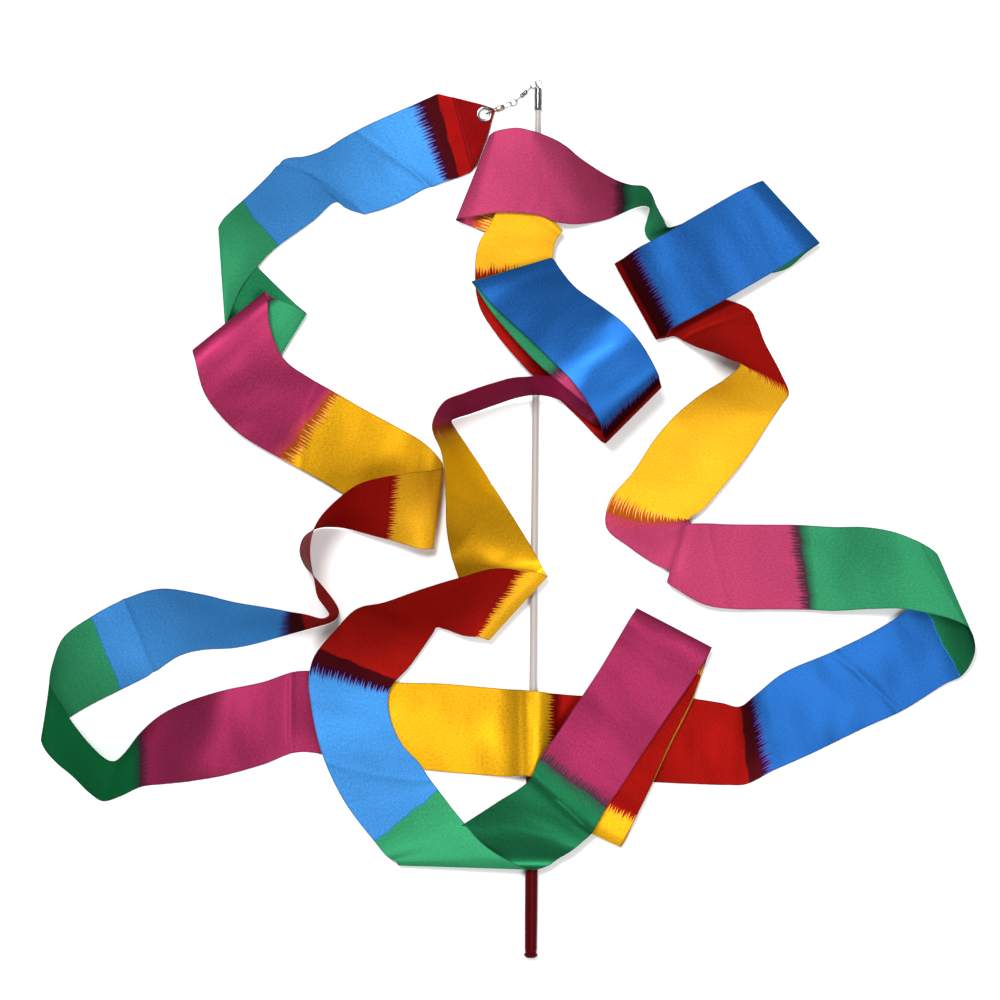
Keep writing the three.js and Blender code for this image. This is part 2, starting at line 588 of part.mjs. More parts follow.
// A closed thin strip through a list of rulings.
function stripGeometry(rulings, thickness) {
  const middles = rulings.map(([a, b]) => a.clone().add(b).multiplyScalar(0.5));
  const positions = [];
  rulings.forEach(([a, b], i) => {
    const before = middles[Math.max(i - 1, 0)];
    const after = middles[Math.min(i + 1, middles.length - 1)];
    const tangent = after.clone().sub(before);
    const offset = tangent.cross(b.clone().sub(a)).setLength(thickness / 2);
    for (const corner of [a.clone().add(offset), b.clone().add(offset), b.clone().sub(offset), a.clone().sub(offset)])
      positions.push(...corner.toArray());
  });
  const index = [];
  const quad = (p, q, r, s) => index.push(p, r, q, p, s, r);
  for (let i = 0; i < rulings.length - 1; i++)
    for (let k = 0; k < 4; k++) {
      const next = (k + 1) % 4;
      const corners = [4 * i + k, 4 * i + next, 4 * i + 4 + next, 4 * i + 4 + k];
      if (k === 2) corners.push(corners.shift()); // both faces split along the same diagonal
      quad(...corners);
    }
  const last = 4 * (rulings.length - 1);
  quad(3, 2, 1, 0);
  quad(last, last + 1, last + 2, last + 3);
  const geometry = new THREE.BufferGeometry();
  geometry.setAttribute("position", new THREE.Float32BufferAttribute(positions, 3));
  geometry.setIndex(index);
  geometry.computeVertexNormals();
  return geometry;
}

function makeBands(root) {
  const stepsPerRow = 3;
  const endGap = 0.35; // left free at each end of a band
  let first = 0;
  BANDS.forEach(([colour, bandRows], band) => {
    const last = Math.min(first + bandRows.length, rows.length - 1);
    const trim = (from, to) => {
      const [a, b] = [ruling(from), ruling(to)];
      const length = a[0].clone().add(a[1]).distanceTo(b[0].clone().add(b[1])) / 2;
      return Math.sign(to - from) * Math.min(endGap / length, 0.4);
    };
    const start = first + trim(first, first + 1);
    const end = last + trim(last, last - 1);
    const count = stepsPerRow * (last - first);
    const rulings = Array.from({ length: count + 1 }, (_, i) => ruling(start + (end - start) * i / count));
    const name = "ribbon_band_" + String(band + 1).padStart(2, "0");
    addMesh(root, name, stripGeometry(rulings, RIBBON_THICKNESS), plastic(RIBBON_COLOURS[colour], 0.45));
    first += bandRows.length;
  });
}

// ---------- the whole wand ----------
const root = new THREE.Group();
const loopCentre = makeWand(root);
const frontRing = along(loopCentre, FRONT_LINK_ANGLE, LOOP_RADIUS + RING_RADIUS - LINK_BITE);
addRing(root, "front_ring", frontRing, RING_ANGLE);
const plateCentre = along(EYELET_CENTRE, SNAP_ANGLE, -HOOK_REACH);
const rearRing = along(plateCentre, SNAP_ANGLE, -(OVAL_REACH + RING_RADIUS - LINK_BITE));
addRing(root, "rear_ring", rearRing, RING_ANGLE);
makeSwivel(root, frontRing, rearRing);
makeSnap(root, plateCentre);
makePoint(root);
makeEyelet(root);
makeBands(root);

export default root;
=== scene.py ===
import math
import random

import bpy
import numpy as np
from mathutils import Matrix, Vector


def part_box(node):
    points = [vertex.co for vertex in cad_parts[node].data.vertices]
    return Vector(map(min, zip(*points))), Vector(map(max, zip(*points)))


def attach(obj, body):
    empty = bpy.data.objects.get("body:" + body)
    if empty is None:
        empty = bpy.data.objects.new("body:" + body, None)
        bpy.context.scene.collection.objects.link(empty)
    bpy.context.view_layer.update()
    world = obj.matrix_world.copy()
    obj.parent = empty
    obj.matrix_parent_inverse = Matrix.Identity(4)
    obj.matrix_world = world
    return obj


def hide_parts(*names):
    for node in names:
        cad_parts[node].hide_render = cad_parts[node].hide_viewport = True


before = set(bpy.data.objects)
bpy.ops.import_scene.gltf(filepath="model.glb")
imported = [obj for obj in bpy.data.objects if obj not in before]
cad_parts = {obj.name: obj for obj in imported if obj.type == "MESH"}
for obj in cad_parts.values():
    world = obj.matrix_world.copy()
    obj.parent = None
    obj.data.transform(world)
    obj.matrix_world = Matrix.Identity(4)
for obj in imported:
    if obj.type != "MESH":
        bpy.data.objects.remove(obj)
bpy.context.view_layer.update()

random.seed(7)

# ---------- places and sizes, in metres ----------
MILLIMETRES = 1000  # in a metre
WAND_X = 0.015
SHOULDER = Vector((WAND_X, -0.106, 0.00358))  # the wand's axis at the grip's front shoulder
WAND_SLOPE = 0.003855  # radians down from grip to tip
GRIP_LENGTH = 0.150
GRIP_RADIUS = 0.00365
GRIP_END_RADIUS = 0.0035
ROD_BUTT_RADIUS = 0.0022
ROD_TIP_RADIUS = 0.0016
TIP = 0.358  # from the shoulder to the ferrule's top
FERRULE_LENGTH = 0.013
FERRULE_RADIUS = 0.00215
WIRE_RADIUS = 0.00023
LINK_WIRE_RADIUS = 0.000198  # the rings, eyes and tip loop, which bear on one another
CHAIN_Z = 0.0022
LOOP_RADIUS = 0.00175
LOOP_SHANK = 0.0011
RING_RADIUS = 0.0021
RING_TILT = math.radians(-42)
RING_HEADING = math.radians(211)
EYE_RADIUS = 0.0011
LINK_BITE = 0.0009
BARREL_LENGTH = 0.0054
BARREL_RADIUS = 0.00115
SNAP_HEADING = math.radians(201.8)
EYELET_CENTRE = Vector((-0.0163, 0.2364, CHAIN_Z))
EYELET_RADIUS = 0.00455
EYELET_HOLE_RADIUS = 0.0031
RIBBON_WIDTH = 0.050
RIBBON_THICKNESS = 0.00022

# ---------- the ribbon's route ----------
# The same straight lines across the ribbon as in the CAD model, each from edge A to edge B, in
# millimetres: [ax, ay, az, bx, by, bz]. A band runs from its first row to the next band's first row.
BANDS = [
    ("red", [
        [-44, 248, 2, -30.5, 199.5, 2],
    ]),
    ("blue", [
        [-58, 241.5, 2.5, -39.5, 196.5, 2], [-71.5, 235.5, 3, -45.5, 194, 1.5],
        [-85, 229, 5, -50.5, 192.5, 1], [-97.5, 221.5, 11, -67.5, 183.5, 1],
        [-108.5, 213.5, 20, -86, 178, 1], [-119.5, 208.5, 29, -97, 181, 1],
        [-131.5, 206, 33, -102.5, 184.5, 1.5], [-140.5, 196.5, 33, -115.5, 173.5, 2],
    ]),
    ("green", [
        [-152, 185.5, 30, -138.5, 156, 3], [-161.5, 177.5, 25, -149, 145, 4],
        [-167.5, 172, 19, -159, 131, 5], [-170, 166.5, 13, -166, 105, 4.5],
        [-166, 164, 7, -161, 101.5, 2], [-145.5, 143.5, 3, -152.5, 94.5, 1],
        [-125, 124, 2.5, -145, 87, 1], [-119, 119, 4.5, -139.5, 85, 3],
        [-124, 122, 7, -145, 88, 4.5], [-132, 125.5, 7.5, -166, 92, 5],
        [-139, 128, 8, -180.5, 95.5, 5.5],
    ]),
    ("pink", [
        [-143.5, 131, 10.5, -185, 97, 8], [-141.5, 126, 13.5, -183.5, 91, 10.5],
        [-140, 111.5, 14.5, -178.5, 73, 10], [-131.5, 92, 14.5, -170.5, 61, 9],
        [-116.5, 81, 14, -157, 48, 8],
    ]),
    ("yellow", [
        [-101, 72.5, 12, -129.5, 32, 6], [-83.5, 62.5, 11, -111.5, 22.5, 4.5],
        [-67.5, 54, 10, -91.5, 11, 4], [-50, 44, 9, -64.5, -1, 4],
        [-41, 35, 10.5, -50, -14.5, 6], [-38.5, 30, 14, -43.5, -17.5, 10],
        [-43.5, 28, 18, -50, -18, 14],
    ]),
    ("red", [
        [-63.5, 25.5, 36, -68, -13, 12], [-86, 19.5, 46, -85.5, -8.5, 8],
        [-99, 10, 49, -99.5, -6, 3.5], [-109, -2, 50.5, -111.5, -6.5, 1.5],
        [-113, -13.5, 51, -119.5, -11.5, 1], [-113.5, -22, 51, -122, -20, 1],
        [-112.5, -29, 51, -119.5, -28, 1], [-111, -35.5, 51, -113.5, -35, 1],
        [-109, -45.5, 50.5, -106, -43.5, 1], [-104.5, -52, 50.5, -100.5, -51, 1],
        [-102.5, -55.5, 50, -99, -55.5, 1], [-106, -57.5, 50, -101.5, -60, 1],
        [-116, -55.5, 49, -114.5, -65, 1],
    ]),
    ("blue", [
        [-129, -53.5, 47, -135.5, -71, 1], [-155.5, -49, 43, -158.5, -76.5, 1],
        [-177, -44.5, 38, -177.5, -78, 1], [-201.5, -42, 30, -192.5, -82, 1],
        [-225, -49.5, 20, -208, -92.5, 1],
    ]),
    ("green", [
        [-242, -59, 22, -226.5, -102, 1], [-256.5, -70.5, 32, -244, -111, 1],
        [-261, -83, 38, -260, -121, 1], [-262.5, -97, 41, -272, -130, 1],
        [-256.5, -107, 43, -270.5, -136.5, 1], [-249.5, -118.5, 44, -264, -144.5, 1],
        [-239, -131.5, 45, -254, -152.5, 1], [-229.5, -139.5, 45, -243.5, -162.5, 1],
        [-225, -140.5, 44, -236, -167, 1], [-219.5, -136, 43, -225.5, -164, 1],
    ]),
    ("pink", [
        [-211, -125, 40, -213.5, -158.5, 1], [-201, -115.5, 31, -199.5, -156.5, 1],
        [-187, -108, 20, -185, -155, 1], [-166, -101.5, 9, -167.5, -152, 1],
        [-143, -96.5, 3, -143, -145, 1], [-122, -90, 1.5, -121.5, -137.5, 1],
    ]),
    ("yellow", [
        [-95, -92.5, 1.5, -90.5, -142, 1], [-65.5, -96, 1.5, -65.5, -145, 1.5],
        [-39.5, -96.5, 1.5, -39, -148, 1.5], [-13, -98.5, 2, -12.5, -150, 2],
        [1.5, -99.5, 4.5, 2, -150.5, 4.5], [8, -99.5, 8, 8.5, -149.5, 8],
        [14.5, -100, 9, 15, -150, 9], [19.5, -100.5, 8, 20, -150, 8],
    ]),
    ("red", [
        [25, -101.5, 5, 24, -151, 5], [29.5, -102, 2, 30, -151.5, 2],
        [42.5, -103, 1, 43, -152, 1], [66, -103.5, 1, 66.5, -152.5, 1],
        [106.5, -104, 1, 107.5, -154, 1], [125.5, -106.5, 1.5, 129, -154.5, 1],
        [135.5, -108.5, 3, 140, -154, 1],
    ]),
    ("blue", [
        [144.5, -101.5, 8, 156.5, -145.5, 1], [160.5, -88.5, 8, 178.5, -135.5, 1],
        [188, -76.5, 5, 207.5, -121, 1.5], [216, -62.5, 4, 232, -109.5, 2],
        [231.5, -52, 4.5, 256, -94, 3],
    ]),
    ("green", [
        [240.5, -43, 7, 265, -89.5, 4.5], [248, -31.5, 10, 270.5, -81, 8],
        [250, -21, 15.5, 271.5, -71, 14], [244.5, -15, 21, 265, -59.5, 21],
        [226, -6.5, 24, 232.5, -50.5, 20], [208, -3, 18, 211.5, -50.5, 14],
        [189, -3, 10, 189.5, -52, 8],
    ]),
    ("pink", [
        [168, -2, 7, 176, -51.5, 6], [149.5, -2, 6.5, 154, -51.5, 5.5],
        [129, -2, 8, 132.5, -51.5, 7], [114, -1.5, 10, 114.5, -49, 9.5],
        [105.5, -2, 11, 98, -40, 10.5], [101.5, -4, 9.5, 92.5, -36, 8.5],
        [105.5, -2.5, 7.5, 96, -31.5, 6], [106.5, -1.5, 6, 84, -25, 3.5],
        [105.5, -0.5, 6, 70.5, -16, 2.5], [105.5, 0.5, 6.5, 57, -4.5, 2],
    ]),
    ("yellow", [
        [105.5, 1.5, 6.5, 59, 11.5, 2], [112.5, 6, 6, 72, 27.5, 2],
        [124.5, 19.5, 5, 85, 47.5, 2], [139, 37.5, 3.5, 97, 61.5, 3],
        [152, 57.5, 2, 111.5, 73.5, 12], [159, 68, 1.5, 124, 82, 24],
    ]),
    ("red", [
        [163, 74.5, 1, 132.5, 90.5, 32], [158.5, 85.5, 1, 127, 93, 33],
        [149, 104, 1, 118.5, 96.5, 29], [140.5, 123, 1, 110, 100, 20],
        [125.5, 129.5, 1, 102, 104, 11], [105, 136, 1, 95.5, 107.5, 5],
        [81.5, 142.5, 1.5, 90.5, 106.5, 3], [66, 148.5, 2, 87.5, 106, 2],
        [60, 149, 6.5, 84.5, 105, 6.5], [65.5, 152.5, 11, 89.5, 108, 10.5],
    ]),
    ("blue", [
        [72.5, 157.5, 15, 95.5, 112.5, 14], [86.5, 165, 18, 110, 120.5, 14.5],
        [109.5, 178.5, 17, 130.5, 132, 13], [132.5, 192, 14, 156.5, 147.5, 12],
        [139.5, 195.5, 13.5, 171.5, 157.5, 12],
    ]),
    ("green", [
        [146.5, 198.5, 9.5, 180, 162.5, 8], [141.5, 195.5, 5, 172.5, 157, 4.5],
        [130.5, 189, 4, 160, 147, 2], [117, 182, 4.5, 137, 144.5, 1.5],
        [104, 175.5, 6.5, 110.5, 151, 1.5], [97.5, 172, 9, 91.5, 158, 1.5],
        [91.5, 170, 13, 80, 164.5, 1.5], [88, 174, 24, 78, 169.5, 1.5],
        [83.5, 181, 35, 79.5, 176.5, 1.5], [80, 188, 43, 80.5, 182.5, 1.5],
        [76, 191.5, 46, 77, 183.5, 1.5], [69, 192, 46, 71, 182, 1.5],
    ]),
    ("pink", [
        [63, 193.5, 46, 65, 179.5, 1.5], [55, 197.5, 43, 56.5, 176, 1.5],
        [39.5, 208.5, 33, 46, 173.5, 3], [29.5, 217.5, 24, 36.5, 172, 8],
        [16.5, 224, 17, 26, 173, 13], [10.5, 226, 15, 16.5, 176.5, 13.5],
        [3.5, 227.5, 14.5, 5, 178, 13.5], [-5.5, 226.5, 13.5, -9, 178, 12.5],
        [-10.5, 225, 12.5, -24, 175.5, 11], [-13.5, 222, 9, -32.5, 174, 7.5],
        [-11, 220, 6, -28.5, 172.5, 4],
    ]),
    ("yellow", [
        [-9, 217, 6, -15.5, 168, 3], [-4.5, 213, 6.5, 0.5, 164, 6.5],
        [-1, 208.5, 7.5, 19.5, 163.5, 8], [0.5, 205.5, 9, 30, 168.5, 9.5],
        [-1.5, 199.5, 11, 29, 166.5, 11], [-6, 185.5, 10.5, 27, 164, 10],
        [-12.5, 171.5, 9.5, 25.5, 161, 9.5], [-19, 160, 8, 24.5, 154.5, 8.5],
    ]),
    ("red", [
        [-21, 146, 6.5, 24, 147, 7.5], [-18.5, 124.5, 4.5, 28.5, 136.5, 7],
        [-8, 107.5, 5.5, 35.5, 125.5, 7], [3.5, 94, 7, 47, 113, 6.5],
        [13, 84, 7, 58, 101.5, 5], [30.5, 68.5, 4, 71, 91, 3],
        [43, 56.5, 3, 80.5, 83.5, 3], [52, 47, 7, 85.5, 79.5, 8],
        [56, 44.5, 21, 87.5, 77, 22], [53.5, 49.5, 36, 86, 81, 37],
    ]),
    ("blue", [
        [52, 55, 42, 85, 84, 42], [44.5, 67.5, 46, 76, 100, 45],
        [35.5, 79.5, 46, 65.5, 112.5, 44], [23.5, 91.5, 42, 51.5, 123.5, 38],
        [5.5, 109, 31, 37, 134.5, 28], [-11.5, 125, 21, 28, 146, 19.5],
        [-19.5, 134.5, 16.5, 25.5, 150, 16.5],
    ]),
    ("green", [
        [-23, 138, 13.5, 23, 152, 14], [-19.5, 133, 11.5, 22, 148.5, 12],
        [-12, 121.5, 15, 26, 140.5, 15], [1, 105.5, 25, 35.5, 129.5, 23],
        [16, 89.5, 36, 49, 116.5, 33],
    ]),
    ("pink", [
        [24, 82.5, 40, 55, 110.5, 37], [35.5, 73, 42, 64, 102.5, 40],
        [46, 64.5, 36, 73.5, 91, 36], [51, 57, 24, 78, 84.5, 24],
        [48.5, 55.5, 12, 74.5, 81.5, 16], [41.5, 60.5, 7.5, 58, 82, 22],
        [30, 69, 8, 32, 83, 32], [16, 72.5, 8.5, 13, 82, 47],
        [4.5, 71, 6.5, 1, 81, 49.5], [-7, 67, 4, -10.5, 77.5, 49.5],
        [-23, 61, 2, -26, 72, 49.5], [-31, 58.5, 1.5, -38, 67, 49.5],
        [-34, 57, 1.5, -44.5, 54.5, 49.5],
    ]),
    ("yellow", [
        [-32, 52.5, 1, -43.5, 48, 49], [-25, 42.5, 1, -39.5, 39.5, 48],
        [-17.5, 32, 1, -37, 26, 46], [-7, 15.5, 1, -36.5, 12, 41],
        [3.5, -0.5, 2, -36, -3.5, 31], [12.5, -15, 4.5, -33.5, -20, 20],
        [18, -24.5, 7.5, -28.5, -35.5, 12], [20.5, -29.5, 8, -18.5, -58, 7],
        [23, -33.5, 10.5, -10.5, -70.5, 9.5], [18.5, -31, 13.5, -14.5, -69.5, 12.5],
    ]),
    ("red", [
        [9, -30, 15, -17, -69, 13], [-8, -28.5, 30, -26.5, -68, 11],
        [-28.5, -34, 43, -37, -64.5, 8], [-50.5, -41, 48, -41.5, -63.5, 6.5],
        [-70.5, -48, 43, -43.5, -67, 6], [-87, -52.5, 30, -49, -75, 5],
        [-100, -65, 15, -58, -87.5, 4.5],
    ]),
    ("blue", [
        [-113, -81.5, 8, -67, -97.5, 5], [-116, -95, 6, -69.5, -105, 5],
        [-114.5, -109.5, 5.5, -67.5, -119, 5], [-110.5, -129, 5.5, -60.5, -133, 5],
        [-104.5, -146.5, 5, -51, -143, 4.5], [-93.5, -167.5, 4, -46, -150.5, 4],
    ]),
    ("green", [
        [-76, -190, 4, -39.5, -159, 4], [-70, -197, 5, -28, -173.5, 5.5],
        [-66, -199.5, 7, -14, -189, 9], [-64, -200.5, 7, 1, -198.5, 12],
        [-62.5, -202.5, 5.5, 15, -203.5, 12], [-56, -200.5, 3.5, 24.5, -201.5, 11.5],
        [-44.5, -191.5, 3, 30.5, -197.5, 11], [-24.5, -178, 6, 38.5, -192.5, 12],
        [-5.5, -165, 10.5, 45, -187, 11.5], [12.5, -152.5, 12, 49.5, -183, 11],
    ]),
    ("pink", [
        [19.5, -139, 11.5, 59, -166.5, 10.5], [29.5, -124.5, 9.5, 67, -155, 9.5],
        [39.5, -109, 9, 77.5, -138.5, 9], [54, -86.5, 10, 93.5, -114, 10],
        [66.5, -65, 11, 107.5, -93.5, 11], [71.5, -56.5, 11, 115.5, -80, 11],
    ]),
    ("yellow", [
        [75, -51.5, 8, 119, -74, 8], [72.5, -56.5, 5, 117, -79, 5],
        [61, -82, 4, 108, -105.5, 4], [48.5, -110, 4, 95.5, -131, 4],
        [38, -134.5, 4, 85, -154.5, 4], [29, -158, 3.5, 74.5, -176.5, 3.5],
        [25.5, -168.5, 3, 69, -188.5, 3], [23, -171.5, 5, 66.5, -191.5, 5],
        [26.5, -167.5, 6.5, 68.5, -187, 6.5],
    ]),
    ("red", [
        [32, -155.5, 6.5, 74.5, -175.5, 6.5], [42, -132, 6.5, 84.5, -154, 6.5],
        [52, -108, 6.5, 95, -130, 6.5], [62.5, -85, 7, 107.5, -104.5, 7],
        [69.5, -70.5, 7, 113, -89.5, 7],
    ]),
]

# ---------- curves ----------
def catmull(points, places, closed=False):
    """Centripetal Catmull-Rom through the points, at places counted in points."""
    points = np.asarray(points, float)
    count = len(points)
    if closed:
        padded = np.vstack([points[-1:], points, points[:2]])
    else:
        before = 2 * points[0] - points[1]
        after = 2 * points[-1] - points[-2]
        padded = np.vstack([before, points, after])
    places = np.asarray(places, float)
    last = count - 1 if closed else count - 2
    segment = np.clip(np.floor(places).astype(int), 0, last)
    t = (places - segment)[:, None]
    p0, p1, p2, p3 = (padded[segment + i] for i in range(4))
    gap = lambda a, b: np.maximum(np.sum((a - b) ** 2, axis=1) ** 0.25, 1e-5)[:, None]
    d0, d1, d2 = gap(p0, p1), gap(p1, p2), gap(p2, p3)
    m1 = ((p1 - p0) / d0 - (p2 - p0) / (d0 + d1) + (p2 - p1) / d1) * d1
    m2 = ((p2 - p1) / d1 - (p3 - p1) / (d1 + d2) + (p3 - p2) / d2) * d1
    c2 = -3 * p1 + 3 * p2 - 2 * m1 - m2
    c3 = 2 * p1 - 2 * p2 + m1 + m2
    return p1 + m1 * t + c2 * t**2 + c3 * t**3


def smooth(values, steps):
    """A moving average with soft ends, along the first axis."""
    reach = np.arange(-3 * steps, 3 * steps + 1)
    weights = np.exp(-0.5 * (reach / steps) ** 2)
    weights /= weights.sum()
    before, after = (np.repeat(end, 3 * steps, 0) for end in (values[:1], values[-1:]))
    padded = np.concatenate([before, values, after])
    return sum(w * padded[i : i + len(values)] for i, w in enumerate(weights))


# ---------- mesh helpers ----------
CREASE_ANGLE = math.radians(40)  # faces that meet more sharply keep a crisp edge


def new_object(name, vertices, faces, body, material):
    mesh = bpy.data.meshes.new(name)
    mesh.from_pydata([tuple(v) for v in vertices], [], faces)
    mesh.update()
    mesh.polygons.foreach_set("use_smooth", [True] * len(mesh.polygons))
    mesh.set_sharp_from_angle(angle=CREASE_ANGLE)
    piece = bpy.data.objects.new(name, mesh)
    bpy.context.scene.collection.objects.link(piece)
    mesh.materials.append(material)
    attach(piece, body)
    return piece


def lathe(profile, sides=64):
    """Vertices and faces of a solid of revolution about +Y from [radius, y] points.
    A profile that starts and ends on the axis is closed there, any other closes on itself."""
    vertices, rings = [], []
    for radius, y in profile:
        if radius < 1e-9:
            rings.append([len(vertices)])
            vertices.append((0, y, 0))
            continue
        rings.append(list(range(len(vertices), len(vertices) + sides)))
        for k in range(sides):
            angle = 2 * math.pi * k / sides
            vertices.append((radius * math.cos(angle), y, radius * math.sin(angle)))
    on_axis = len(rings[0]) == 1
    faces = []
    for i in range(len(rings) if not on_axis else len(rings) - 1):
        low, high = rings[i], rings[(i + 1) % len(rings)]
        for k in range(sides):
            n = (k + 1) % sides
            if len(low) == 1:
                faces.append((low[0], high[k], high[n]))
            elif len(high) == 1:
                faces.append((low[k], high[0], low[n]))
            else:
                faces.append((low[k], high[k], high[n], low[n]))
    return vertices, faces


def tube(points, radius, sides=12, closed=False):
    """A round wire that follows points."""
    points = [Vector(p) for p in points]
    count = len(points)
    vertices, faces = [], []
    side = None
    for i, point in enumerate(points):
        after = points[(i + 1) % count] if closed else points[min(i + 1, count - 1)]
        before = points[i - 1] if closed else points[max(i - 1, 0)]
        tangent = (after - before).normalized()
        side = side or tangent.orthogonal()
        side = (side - tangent * side.dot(tangent)).normalized()
        other = tangent.cross(side)
        for k in range(sides):
            angle = 2 * math.pi * k / sides
            vertices.append(point + radius * (math.cos(angle) * side + math.sin(angle) * other))
    # A closed wire's last ring meets the first at the nearest matching corner.
    shift = 0
    if closed:
        last = vertices[-sides:]

        def gap(turn):
            return sum((last[k] - vertices[(k + turn) % sides]).length for k in range(sides))

        shift = min(range(sides), key=gap)
    for i in range(count if closed else count - 1):
        turn = shift if i == count - 1 else 0
        for k in range(sides):
            n = (k + 1) % sides
            low, high = i * sides, ((i + 1) % count) * sides
            faces.append((low + k, low + n, high + (n + turn) % sides, high + (k + turn) % sides))
    if not closed:
        faces.append(tuple(range(sides))[::-1])
        faces.append(tuple((count - 1) * sides + k for k in range(sides)))
    return vertices, faces


def moved(vertices, matrix):
    return [matrix @ Vector(v) for v in vertices]


def merged(*parts):
    vertices, faces = [], []
    for more, theirs in parts:
        start = len(vertices)
        vertices += list(more)
        faces += [tuple(start + i for i in face) for face in theirs]
    return vertices, faces


def circle(radius, steps=64):
    return [Vector((radius * math.cos(a), radius * math.sin(a), 0))
            for a in (2 * math.pi * i / steps for i in range(steps))]


# ---------- materials ----------
class Nodes:
    """Short names for building a node material."""

    def __init__(self, name):
        self.material = bpy.data.materials.new(name)
        self.material.use_nodes = True
        self.tree = self.material.node_tree
        self.shader = self.tree.nodes["Principled BSDF"]

    def add(self, kind, **settings):
        node = self.tree.nodes.new(kind)
        for key, value in settings.items():
            setattr(node, key, value)
        return node

    def link(self, source, target):
        self.tree.links.new(source, target)

    def math(self, operation, first, second=None, clamp=False):
        node = self.add("ShaderNodeMath", operation=operation, use_clamp=clamp)
        for socket, value in zip(node.inputs, (first, second)):
            if value is None:
                continue
            if isinstance(value, (int, float)):
                socket.default_value = value
            else:
                self.link(value, socket)
        return node.outputs[0]

    def noise(self, scale, detail=2.0, vector=None, stretch=None):
        node = self.add("ShaderNodeTexNoise")
        node.inputs["Scale"].default_value = scale
        node.inputs["Detail"].default_value = detail
        vector = vector or self.add("ShaderNodeTexCoord").outputs["Object"]
        if stretch:
            mapping = self.add("ShaderNodeMapping")
            mapping.inputs["Scale"].default_value = stretch
            self.link(vector, mapping.inputs["Vector"])
            vector = mapping.outputs["Vector"]
        self.link(vector, node.inputs["Vector"])
        return node.outputs["Fac"]

    def lookup(self, factor, stops):
        """The colour of the last stop that the factor has passed."""
        node = self.add("ShaderNodeValToRGB")
        node.color_ramp.interpolation = "CONSTANT"
        elements = node.color_ramp.elements
        while len(elements) < len(stops):
            elements.new(0.5)
        for element, (position, _) in zip(elements, stops):
            element.position = position
        for element, (_, colour) in zip(elements, stops):
            element.color = (*colour, 1)
        self.link(factor, node.inputs["Fac"])
        return node.outputs["Color"]

    def mix(self, factor, first, second, blend="MIX"):
        node = self.add("ShaderNodeMix", data_type="RGBA", blend_type=blend)
        for key, value in (("Factor", factor), ("A", first), ("B", second)):
            socket = node.inputs[key]
            if isinstance(value, (int, float)):
                socket.default_value = value
            elif isinstance(value, tuple):
                socket.default_value = (*value, 1)
            else:
                self.link(value, socket)
        return node.outputs["Result"]

    def bump(self, height, strength, distance, normal=None):
        node = self.add("ShaderNodeBump")
        node.inputs["Strength"].default_value = strength
        node.inputs["Distance"].default_value = distance
        self.link(height, node.inputs["Height"])
        if normal:
            self.link(normal, node.inputs["Normal"])
        return node.outputs["Normal"]

    def surface(self, **values):
        for key, value in values.items():
            socket = self.shader.inputs[key.replace("_", " ")]
            if hasattr(value, "is_linked"):
                self.link(value, socket)
            elif isinstance(value, tuple):
                socket.default_value = (*value, 1)
            else:
                socket.default_value = value
        return self.material


def rgb(red, green, blue):
    """A linear colour from its 0 to 255 screen values."""
    screen = (red / 255, green / 255, blue / 255)
    return tuple(v / 12.92 if v <= 0.04045 else ((v + 0.055) / 1.055) ** 2.4 for v in screen)


# Each face of the satin: the shiny face is deep, the matt back is paler.
FACE = {"red": rgb(116, 12, 9), "blue": rgb(27, 76, 136), "green": rgb(22, 86, 54),
        "pink": rgb(122, 34, 66), "yellow": rgb(188, 138, 18)}
BACK = {"red": rgb(128, 16, 12), "blue": rgb(54, 118, 178), "green": rgb(42, 122, 82),
        "pink": rgb(146, 50, 82), "yellow": rgb(196, 144, 26)}
DYE_UNIT = 0.125  # metres of ribbon for one count of the dye coordinate, close to a dye line

# Where two colours meet, the first runs into the second in needles. One entry for each of the
# five meetings. "into" is false where the needles run back towards the ribbon's sewn end.
# zone: the length of the darkened strip before the needles, and of its soft start, in metres.
MEETINGS = [
    {"colours": ("red", "yellow"), "into": False, "zone": (0.001, 0.001), "needle": 0.0070,
     "dark": rgb(110, 10, 8), "tip": rgb(128, 22, 10), "fringe": rgb(216, 128, 50)},
    {"colours": ("red", "blue"), "into": True, "zone": (0.0076, 0.0012), "needle": 0.0088,
     "dark": rgb(52, 8, 12), "tip": rgb(44, 6, 30), "fringe": rgb(66, 56, 140)},
    {"colours": ("blue", "green"), "into": True, "zone": (0.0002, 0.0002), "needle": 0.0012,
     "dark": rgb(28, 96, 140), "tip": rgb(28, 108, 150), "fringe": rgb(30, 116, 130)},
    {"colours": ("green", "pink"), "into": True, "zone": (0.0060, 0.0060), "needle": 0.0080,
     "dark": rgb(34, 62, 48), "tip": rgb(62, 36, 48), "fringe": rgb(92, 36, 58)},
    {"colours": ("pink", "yellow"), "into": True, "zone": (0.006, 0.006), "needle": 0.0095,
     "dark": rgb(148, 50, 62), "tip": rgb(132, 60, 18), "fringe": rgb(206, 128, 74)},
]


